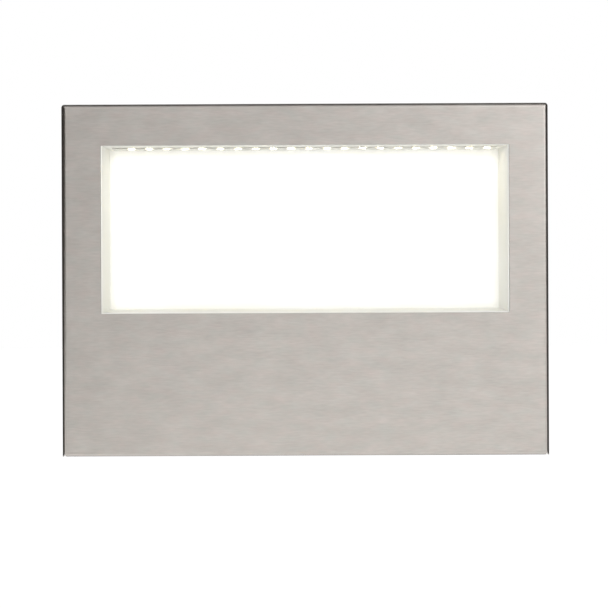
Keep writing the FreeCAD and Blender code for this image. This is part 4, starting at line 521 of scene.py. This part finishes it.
def drawn_pvc(name, light, dark, stripe=None):
    """PVC insulation drawn over wire: smooth and glossy. The earth's has a stripe on two
    sides."""
    def patterns(tree, place):
        tone = clouded(tree, place, 1.5, linear(light), linear(dark))
        if stripe:
            facing = add_node(tree, "ShaderNodeTexCoord").outputs["Normal"]
            upward = add_node(tree, "ShaderNodeVectorMath", {0: facing, 1: (0, 0, 1)},
                              operation="DOT_PRODUCT")
            tilt = add_node(tree, "ShaderNodeMath", {0: upward.outputs["Value"]},
                            operation="ABSOLUTE")
            marked = add_node(tree, "ShaderNodeMath", {0: tilt.outputs[0], 1: 0.55},
                              operation="GREATER_THAN")
            tone = add_node(tree, "ShaderNodeMix",
                            {"Factor": marked.outputs[0], "A": tone, "B": linear(stripe)},
                            data_type="RGBA").outputs["Result"]
        return {"Base Color": tone, "Normal": gritty(tree, place, 1.5, 0.01)}

    return new_finish(name, {"Roughness": 0.35, "IOR": 1.53}, patterns)


# ---------------------------------------------------------------- shaping

def body_of(node):
    """The body that a part belongs to."""
    for body, members in RECORD["behaviour"]["bodies"].items():
        if node in members:
            return body
    raise RuntimeError(f"no body holds {node}")


def stand_for(node, mesh, *materials):
    """A piece with this mesh that stands for a part and moves as it does."""
    for material in materials:
        mesh.materials.append(material)
    piece = bpy.data.objects.new(mesh.name, mesh)
    bpy.context.scene.collection.objects.link(piece)
    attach(piece, body_of(node))
    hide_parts(node)
    return piece


def whole_faces(mesh):
    """Join a part's split triangles into whole flat faces."""
    shape = bmesh.new()
    shape.from_mesh(mesh)
    bmesh.ops.remove_doubles(shape, verts=shape.verts, dist=0.002 * MM)
    bmesh.ops.dissolve_limit(shape, angle_limit=math.radians(0.6), verts=shape.verts,
                             edges=shape.edges)
    for face in shape.faces:
        face.material_index = 0
    shape.to_mesh(mesh)
    shape.free()


def soften(piece, edge):
    """Round a piece's sharp edges and even out its shading."""
    piece.data.shade_smooth()
    rounding = piece.modifiers.new("rounded_edges", "BEVEL")
    rounding.width = edge
    rounding.segments = 2
    rounding.limit_method = "ANGLE"
    rounding.angle_limit = math.radians(38)
    rounding.miter_outer = "MITER_ARC"
    even = piece.modifiers.new("even_shading", "WEIGHTED_NORMAL")
    even.keep_sharp = True
    even.weight = 100


def dress(nodes, edge, material):
    """Fine-edged copies, in one finish, that stand for these parts."""
    pieces = []
    for node in nodes:
        mesh = frame["nodes"][node].data.copy()
        mesh.name = f"{node}_piece"
        mesh.materials.clear()
        whole_faces(mesh)
        pieces.append(stand_for(node, mesh, material))
        soften(pieces[-1], edge)
    return pieces


def settings_of(context, group):
    """One group of the scene's settings."""
    return getattr(context.scene, group)


# ---------------------------------------------------------------- the pieces

class STEPLIGHT_OT_cover(bpy.types.Operator):
    """Cover plate: brushed sheet with fine cut edges"""
    bl_idname = "step_light.cover"
    bl_label = "Cover plate"

    def execute(self, context):
        settings = settings_of(context, "step_light_cover")
        cover, = dress(["front_cover"], settings.edge, brushed_stainless(settings))
        mesh = cover.data
        mesh.materials.append(laser_cut_edge())
        for face in mesh.polygons:
            depths = [mesh.vertices[corner].co.y for corner in face.vertices]
            thin = max(depths) - min(depths) < settings.sheet
            face.material_index = int(thin and abs(face.normal.y) < 0.5)
        return {"FINISHED"}


class STEPLIGHT_OT_fasteners(bpy.types.Operator):
    """Screws, nuts and rivets: turned and tumbled"""
    bl_idname = "step_light.fasteners"
    bl_label = "Fasteners"

    def execute(self, context):
        edge = settings_of(context, "step_light_parts").turned_edge
        dress(["cover_nuts", "cover_screw_left", "cover_screw_right", "chassis_screws",
               "led_carrier_screws", "driver_screws", "terminal_screws",
               "terminal_fixing_screws", "cord_clamp_screws", "earth_screw"], edge,
              turned_metal("stainless_turned", "B9B7B3", "9E9C98", 0.24))
        dress(["liner_rivets"], edge,
              turned_metal("aluminium_headed", "D0D0D0", "BABABA", 0.28))
        dress(["terminal_barrels", "screw_inserts"], edge,
              turned_metal("brass_turned", "CDAA5E", "B08C43", 0.22))
        dress(["earth_lug"], edge, turned_metal("copper_tinned", "CFCFCD", "B4B3AF", 0.24))
        return {"FINISHED"}


class STEPLIGHT_OT_chassis(bpy.types.Operator):
    """Chassis, its gaskets and the aluminium angle"""
    bl_idname = "step_light.chassis"
    bl_label = "Chassis"

    def execute(self, context):
        edge = settings_of(context, "step_light_parts").turned_edge
        dress(["chassis"], edge, zinc_plated_steel())
        dress(["led_carrier"], edge, extruded_aluminium())
        dress(["chassis_gasket", "liner_gasket", "wall_gasket"], edge, closed_cell_foam())
        dress(["thermal_tape"], edge / 2, filled_silicone_tape())
        return {"FINISHED"}


class STEPLIGHT_OT_recess(bpy.types.Operator):
    """White moulded recess"""
    bl_idname = "step_light.recess"
    bl_label = "Recess"

    def execute(self, context):
        settings = settings_of(context, "step_light_recess")
        dress(["recess_liner"], settings.edge,
              moulded_plastic("asa_white_moulded", settings.white, linear("EFEEE7"), 0.4,
                              0.45, 0.01, 1.52))
        return {"FINISHED"}


class STEPLIGHT_OT_diodes(bpy.types.Operator):
    """Row of lit diodes on their board, cast in resin"""
    bl_idname = "step_light.diodes"
    bl_label = "Diodes"

    def execute(self, context):
        settings = settings_of(context, "step_light_lamp")
        low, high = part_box("led_packages")
        long, pitch = settings.package_long, settings.pitch
        count = round((high.x - low.x - long) / pitch) + 1
        if count < 2:
            raise RuntimeError("the row of diodes is shorter than one spacing")
        size = Vector((long, high.y - low.y, high.z - low.z))
        shape = bmesh.new()
        for step in range(count):
            centre = Vector((low.x + long / 2 + step * pitch,
                             (low.y + high.y) / 2, (low.z + high.z) / 2))
            package = bmesh.ops.create_cube(
                shape, matrix=Matrix.Translation(centre) @ Matrix.Diagonal((*size, 1)))
            faces = {face for vert in package["verts"] for face in vert.link_faces}
            lit = min(faces, key=lambda face: face.calc_center_median().z)
            bmesh.ops.inset_individual(shape, faces=[lit], thickness=settings.package_wall)
            sunk = bmesh.ops.extrude_discrete_faces(shape, faces=[lit])["faces"][0]
            bmesh.ops.translate(shape, vec=(0, 0, settings.face_depth), verts=sunk.verts)
            sunk.material_index = 1
        row = bpy.data.meshes.new("diode_row")
        shape.to_mesh(row)
        shape.free()
        # A diode's cup is a dense matt moulding that bounces its light.
        cup = moulded_plastic("polyphthalamide_white", linear("F7F5EE"), linear("EFEDE4"),
                              0.45, 0.2, 0.004, 1.5)
        stand_for("led_packages", row, cup, lit_phosphor(settings))
        dress(["led_potting"], 0.2 * MM, casting_resin())
        dress(["led_board"], 0.1 * MM,
              solder_resist("solder_resist_white", "DEDCD4", "D6D4CB", "C9C7BE"))
        return {"FINISHED"}


class STEPLIGHT_OT_driver(bpy.types.Operator):
    """Electronic driver: its case, board and parts"""
    bl_idname = "step_light.driver"
    bl_label = "Driver"

    def execute(self, context):
        edge = settings_of(context, "step_light_parts").moulded_edge
        dress(["driver_base", "driver_lid"], edge,
              moulded_plastic("polycarbonate_grey_moulded", linear("9B9EA1"),
                              linear("929598"), 0.45, 0.4, 0.02, 1.58))
        dress(["driver_board"], edge / 3,
              solder_resist("solder_resist_green", "2E6B3F", "285E37", "3F7F4F"))
        dress(["driver_transformer"], edge, taped_winding())
        dress(["driver_capacitors"], edge / 3, sleeved_can())
        dress(["driver_choke"], edge / 2,
              moulded_rubber("epoxy_coated_ring", "5B7F5F", "4C6F50"))
        return {"FINISHED"}


class STEPLIGHT_OT_terminals(bpy.types.Operator):
    """Terminal block and cord clamp"""
    bl_idname = "step_light.terminals"
    bl_label = "Terminals"

    def execute(self, context):
        edge = settings_of(context, "step_light_parts").moulded_edge
        dress(["terminal_block"], edge,
              moulded_plastic("nylon_natural_moulded", linear("EAE8DF"), linear("E2E0D6"),
                              0.42, 0.5, 0.01, 1.53))
        dress(["cord_clamp"], edge,
              moulded_plastic("nylon_black_moulded", linear("2C2D2E"), linear("262728"),
                              0.45, 0.4, 0.02, 1.53))
        return {"FINISHED"}


class STEPLIGHT_OT_leads(bpy.types.Operator):
    """Leads between driver, diodes, terminals and earth"""
    bl_idname = "step_light.leads"
    bl_label = "Leads"

    def execute(self, context):
        for node, light, dark, stripe in (
            ("lead_led_positive", "B22A20", "9E241B", None),
            ("lead_led_negative", "2A2A2A", "202020", None),
            ("lead_mains_live", "6E4529", "5F3B23", None),
            ("lead_mains_neutral", "2F62B4", "2855A0", None),
            ("lead_earth", "4E9A3A", "458A33", "E4D03C"),
        ):
            for slot in frame["nodes"][node].material_slots:
                slot.material = drawn_pvc(f"pvc_{node}", light, dark, stripe)
        return {"FINISHED"}


class STEPLIGHT_OT_wall_box(bpy.types.Operator):
    """Moulded wall box with its washers and plug"""
    bl_idname = "step_light.wall_box"
    bl_label = "Wall box"

    def execute(self, context):
        edge = settings_of(context, "step_light_parts").moulded_edge
        dress(["wall_box", "blanking_plug", "gland_nut", "gland_locknut"], edge, black_nylon())
        dress(["fixing_washers", "gland_washer", "gland_seal"], edge / 2,
              moulded_rubber("rubber_compression_moulded", "2E2E2F", "383838"))
        return {"FINISHED"}


def gland_rings(settings, low, high):
    """Outline of the cable gland's body as rings of (y, radius), once round its section."""
    wide, tall = high.x - low.x, high.z - low.z
    apothem = min(wide, tall) / 2
    corner = 0 if wide > tall else math.radians(90)
    edge = settings.moulded_edge
    neck, bore, seat = settings.gland_neck, settings.gland_bore, settings.seal_seat
    hex_from = low.y + settings.gland_neck_long
    hex_to = hex_from + settings.gland_hexagon
    seat_end = low.y + settings.seal_seat_deep
    sides, pitch, deep = settings.thread_sides, settings.thread_pitch, settings.thread_deep

    def ring(y, radius_at):
        return [(y, radius_at(2 * math.pi * side / sides)) for side in range(sides)]

    def plain(y, radius):
        return [(y, radius)] * sides

    def hexagon(angle):
        past = (angle - corner) % math.radians(60) - math.radians(30)
        return apothem / math.cos(past)

    def thread(y, angle):
        turn = (y - hex_to) / pitch - angle / (2 * math.pi)
        # Root and crest each take 0.15 of the height as flats.
        height = (1 - abs(2 * (turn % 1) - 1) - 0.15) / 0.7
        ends = min(1, (y - hex_to) / pitch, (high.y - y) / pitch)
        return settings.gland_thread - deep + deep * min(max(height, 0), 1) * ends

    rings = [plain(low.y, neck - edge), plain(low.y + edge, neck), plain(hex_from, neck)]
    # The hexagon's corners are turned off at 30 degrees on the nut's side.
    for step in range(7):
        past = 0.2 * MM * step
        cone = apothem * 0.98 + past * math.tan(math.radians(60))
        rings.append(ring(hex_from + past, lambda angle: min(hexagon(angle), cone)))
    rings.append(ring(hex_to - edge / 2, hexagon))
    rings.append(ring(hex_to, lambda angle: hexagon(angle) - edge / 2))
    steps = round((high.y - hex_to) / pitch * 8)
    for step in range(steps + 1):
        y = hex_to + (high.y - hex_to) * step / steps
        rings.append(ring(y, lambda angle: thread(y, angle)))
    return rings + [plain(high.y, bore + edge), plain(high.y - edge, bore),
                    plain(seat_end, bore), plain(seat_end, seat),
                    plain(low.y + edge, seat), plain(low.y, seat + edge)]


def turned_mesh(name, rings, middle):
    """A closed mesh through rings of (y, radius) about an axis along Y."""
    sides = len(rings[0])
    points = []
    for outline in rings:
        for side, (y, radius) in enumerate(outline):
            angle = 2 * math.pi * side / sides
            points.append((middle.x + radius * math.cos(angle), y,
                           middle.z + radius * math.sin(angle)))
    faces = []
    for row in range(len(rings)):
        here, after = row * sides, (row + 1) % len(rings) * sides
        for side in range(sides):
            beside = (side + 1) % sides
            faces.append((here + side, after + side, after + beside, here + beside))
    mesh = bpy.data.meshes.new(name)
    mesh.from_pydata(points, [], faces)
    shape = bmesh.new()
    shape.from_mesh(mesh)
    bmesh.ops.recalc_face_normals(shape, faces=shape.faces)
    shape.to_mesh(mesh)
    shape.free()
    mesh.shade_smooth()
    mesh.set_sharp_from_angle(angle=math.radians(32))
    return mesh


class STEPLIGHT_OT_gland(bpy.types.Operator):
    """Cable gland's body, with its moulded thread behind the wall box"""
    bl_idname = "step_light.gland"
    bl_label = "Cable gland"

    def execute(self, context):
        low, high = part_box("gland_body")
        rings = gland_rings(settings_of(context, "step_light_parts"), low, high)
        mesh = turned_mesh("gland_body_piece", rings, (low + high) / 2)
        stand_for("gland_body", mesh, black_nylon())
        return {"FINISHED"}


# ---------------------------------------------------------------- the studio

def soft_light(name, place, size, power, colour):
    """A soft light that faces the window of the plate."""
    window = Vector((0, 0, 0.02))
    lamp = bpy.data.lights.new(name, "AREA")
    lamp.shape = "RECTANGLE"
    lamp.size, lamp.size_y = size
    lamp.energy = power
    lamp.color = colour
    made = bpy.data.objects.new(name, lamp)
    made.location = place
    made.rotation_euler = (window - made.location).to_track_quat("-Z", "Y").to_euler()
    bpy.context.scene.collection.objects.link(made)
    return made


def flat_sheet(name, corners, material):
    """A four-cornered sheet of the studio."""
    mesh = bpy.data.meshes.new(name)
    mesh.from_pydata(corners, [], [(0, 1, 2, 3)])
    mesh.materials.append(material)
    sheet = bpy.data.objects.new(name, mesh)
    bpy.context.scene.collection.objects.link(sheet)
    return sheet


def shown_level(tree, shown, as_light):
    """One level for what the camera sees itself, in metal or through clear resin, and another
    for the light that it gives."""
    rays = add_node(tree, "ShaderNodeLightPath").outputs
    seen = add_node(tree, "ShaderNodeMath",
                    {0: rays["Is Camera Ray"], 1: rays["Is Glossy Ray"]}, operation="MAXIMUM")
    passed = add_node(tree, "ShaderNodeMath",
                      {0: seen.outputs[0], 1: rays["Is Transmission Ray"]},
                      operation="MAXIMUM")
    level = add_node(tree, "ShaderNodeMapRange",
                     {"Value": passed.outputs[0], "To Min": as_light, "To Max": shown})
    return level.outputs["Result"]


def white_room(scene, brightness):
    """White surroundings: full white where they are seen, softer as light."""
    room = bpy.data.worlds.new("white_room")
    scene.world = room
    room.use_nodes = True
    tree = room.node_tree
    tree.nodes.clear()
    light = add_node(tree, "ShaderNodeBackground",
                     {"Color": (1, 1, 1), "Strength": shown_level(tree, 1.0, brightness)})
    add_node(tree, "ShaderNodeOutputWorld", {"Surface": light.outputs[0]})


def white_floor_with_painted_glow():
    """Rolled white floor paint: keeps shadows, and reads as white where nothing shades it. In the
    metal's reflections it also glows, brighter near the plate and dimmer further out: a painted
    reflection.
    """
    white_lift = 0.68

    def patterns(tree, place):
        rays = add_node(tree, "ShaderNodeLightPath").outputs
        forward = add_node(tree, "ShaderNodeVectorMath", {0: place, 1: (0, 1, 0)},
                           operation="DOT_PRODUCT")
        # Painted reflection: the floor glows for the metal only, bright near the plate and dimmer
        # further out.
        painted_glow_nearness = add_node(tree, "ShaderNodeMapRange",
                            {"Value": forward.outputs["Value"], "From Min": -0.55,
                             "From Max": -0.3, "To Min": 0.12, "To Max": 0.8})
        painted_glow_in_metal = add_node(tree, "ShaderNodeMath",
                            {0: rays["Is Glossy Ray"], 1: painted_glow_nearness.outputs["Result"]},
                            operation="MULTIPLY")
        # The camera sees an even white lift; the metal sees the painted glow on top of the
        # floor's own light.
        floor_lift_and_painted_glow = add_node(tree, "ShaderNodeMath",
                        {0: rays["Is Camera Ray"], 1: white_lift, 2: painted_glow_in_metal.outputs[0]},
                        operation="MULTIPLY_ADD")
        return {"Base Color": clouded(tree, place, 6, linear("F4F4F2"), linear("F1F1EF")),
                "Emission Strength": floor_lift_and_painted_glow.outputs[0]}

    return new_finish("white_floor_with_painted_glow", {"Roughness": 0.9, "Emission Color": (1, 1, 1)},
                      patterns)


def card(name, colour):
    """Painted studio card, dull and faintly clouded, seen only in the metal's reflections."""
    shade = tuple(part * 0.8 for part in colour)

    def patterns(tree, place):
        return {"Base Color": clouded(tree, place, 20, tuple(colour), shade)}

    return new_finish(name, {"Roughness": 0.95}, patterns)


class STEPLIGHT_OT_stage(bpy.types.Operator):
    """Camera, lights, cards and floor"""
    bl_idname = "step_light.stage"
    bl_label = "Studio"

    def execute(self, context):
        scene = context.scene
        settings = settings_of(context, "step_light_studio")
        camera = bpy.data.objects.new("camera", bpy.data.cameras.new("camera"))
        scene.collection.objects.link(camera)
        camera.data.sensor_width = 36.0
        camera.data.lens = settings.lens
        camera.data.shift_x, camera.data.shift_y = settings.shift
        camera.data.clip_start, camera.data.clip_end = 0.01, 20.0
        camera.matrix_world = (Matrix.Translation(Vector(settings.camera_place))
                               @ Matrix.Rotation(math.radians(90), 4, "X")
                               @ Matrix.Rotation(settings.camera_roll, 4, "Z"))
        scene.camera = camera
        scene.view_settings.view_transform = "Standard"
        white_room(scene, settings.sky)
        key = soft_light("key_light", (0.8, -1.28, 0.3), (1.1, 1.4), settings.key,
                         (0.96, 0.98, 1.0))
        key.visible_glossy = False
        sheen = soft_light("sheen_light", (0.8, -1.28, 0.6), (1.1, 1.4), settings.sheen,
                           (1.0, 1.0, 1.0))
        sheen.visible_diffuse = False
        fill = soft_light("fill_light", (-0.0066, -1.5, 0.08), (0.5, 0.5), settings.fill,
                          (1.0, 1.0, 1.0))
        fill.visible_glossy = False
        # The floor reaches well past the picture; the cards stand on it round the light.
        drop, reach = -settings.floor_drop, 4.0
        flat_sheet("floor", [(-reach, -reach, drop), (reach, -reach, drop),
                             (reach, reach, drop), (-reach, reach, drop)],
                   white_floor_with_painted_glow())
        dark = card("card_dark_matt", settings.dark_card)
        grey = card("card_grey_matt", settings.grey_card)
        under, over, back, out = drop + 0.01, 0.6, 0.5, 0.5
        left_front, right_front, top_front = -1.3, -0.27, -0.2
        for name, corners, finish in (
            ("card_left", [(-out, left_front, under), (-out, back, under),
                           (-out, back, over), (-out, left_front, over)], dark),
            ("card_right", [(out, right_front, under), (out, back, under),
                            (out, back, over), (out, right_front, over)], dark),
            ("card_top", [(-out, top_front, over), (out, top_front, over),
                          (out, back, over), (-out, back, over)], grey),
        ):
            sheet = flat_sheet(name, corners, finish)
            sheet.visible_camera = False
            sheet.visible_diffuse = False
            sheet.visible_transmission = False
            sheet.visible_shadow = False
        return {"FINISHED"}


# ---------------------------------------------------------------- the panel and the run

OPERATORS = (
    STEPLIGHT_OT_cover, STEPLIGHT_OT_fasteners, STEPLIGHT_OT_chassis, STEPLIGHT_OT_recess,
    STEPLIGHT_OT_diodes, STEPLIGHT_OT_driver, STEPLIGHT_OT_terminals, STEPLIGHT_OT_leads,
    STEPLIGHT_OT_wall_box, STEPLIGHT_OT_gland, STEPLIGHT_OT_stage,
)


class STEPLIGHT_PT_panel(bpy.types.Panel):
    """Lists the pieces and their settings"""
    bl_idname = "STEPLIGHT_PT_panel"
    bl_label = "Step light"
    bl_space_type = "VIEW_3D"
    bl_region_type = "UI"
    bl_category = "Step light"

    def draw(self, context):
        for group in GROUPS:
            box = self.layout.box()
            settings = settings_of(context, group)
            for name in type(settings).__annotations__:
                box.prop(settings, name)
        column = self.layout.column()
        for operator in OPERATORS:
            column.operator(operator.bl_idname)


CLASSES = (*GROUPS.values(), *OPERATORS, STEPLIGHT_PT_panel)


def register():
    """Add the classes and the scene's settings."""
    for each in CLASSES:
        bpy.utils.register_class(each)
    for name, group in GROUPS.items():
        setattr(bpy.types.Scene, name, PointerProperty(type=group))


def unregister():
    """Take the settings and the classes away again."""
    for name in GROUPS:
        delattr(bpy.types.Scene, name)
    for each in reversed(CLASSES):
        bpy.utils.unregister_class(each)


def main():
    """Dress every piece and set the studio."""
    register()
    bpy.ops.step_light.cover()
    bpy.ops.step_light.fasteners()
    bpy.ops.step_light.chassis()
    bpy.ops.step_light.recess()
    bpy.ops.step_light.diodes()
    bpy.ops.step_light.driver()
    bpy.ops.step_light.terminals()
    bpy.ops.step_light.leads()
    bpy.ops.step_light.wall_box()
    bpy.ops.step_light.gland()
    bpy.ops.step_light.stage()


if __name__ == "__main__":
    main()
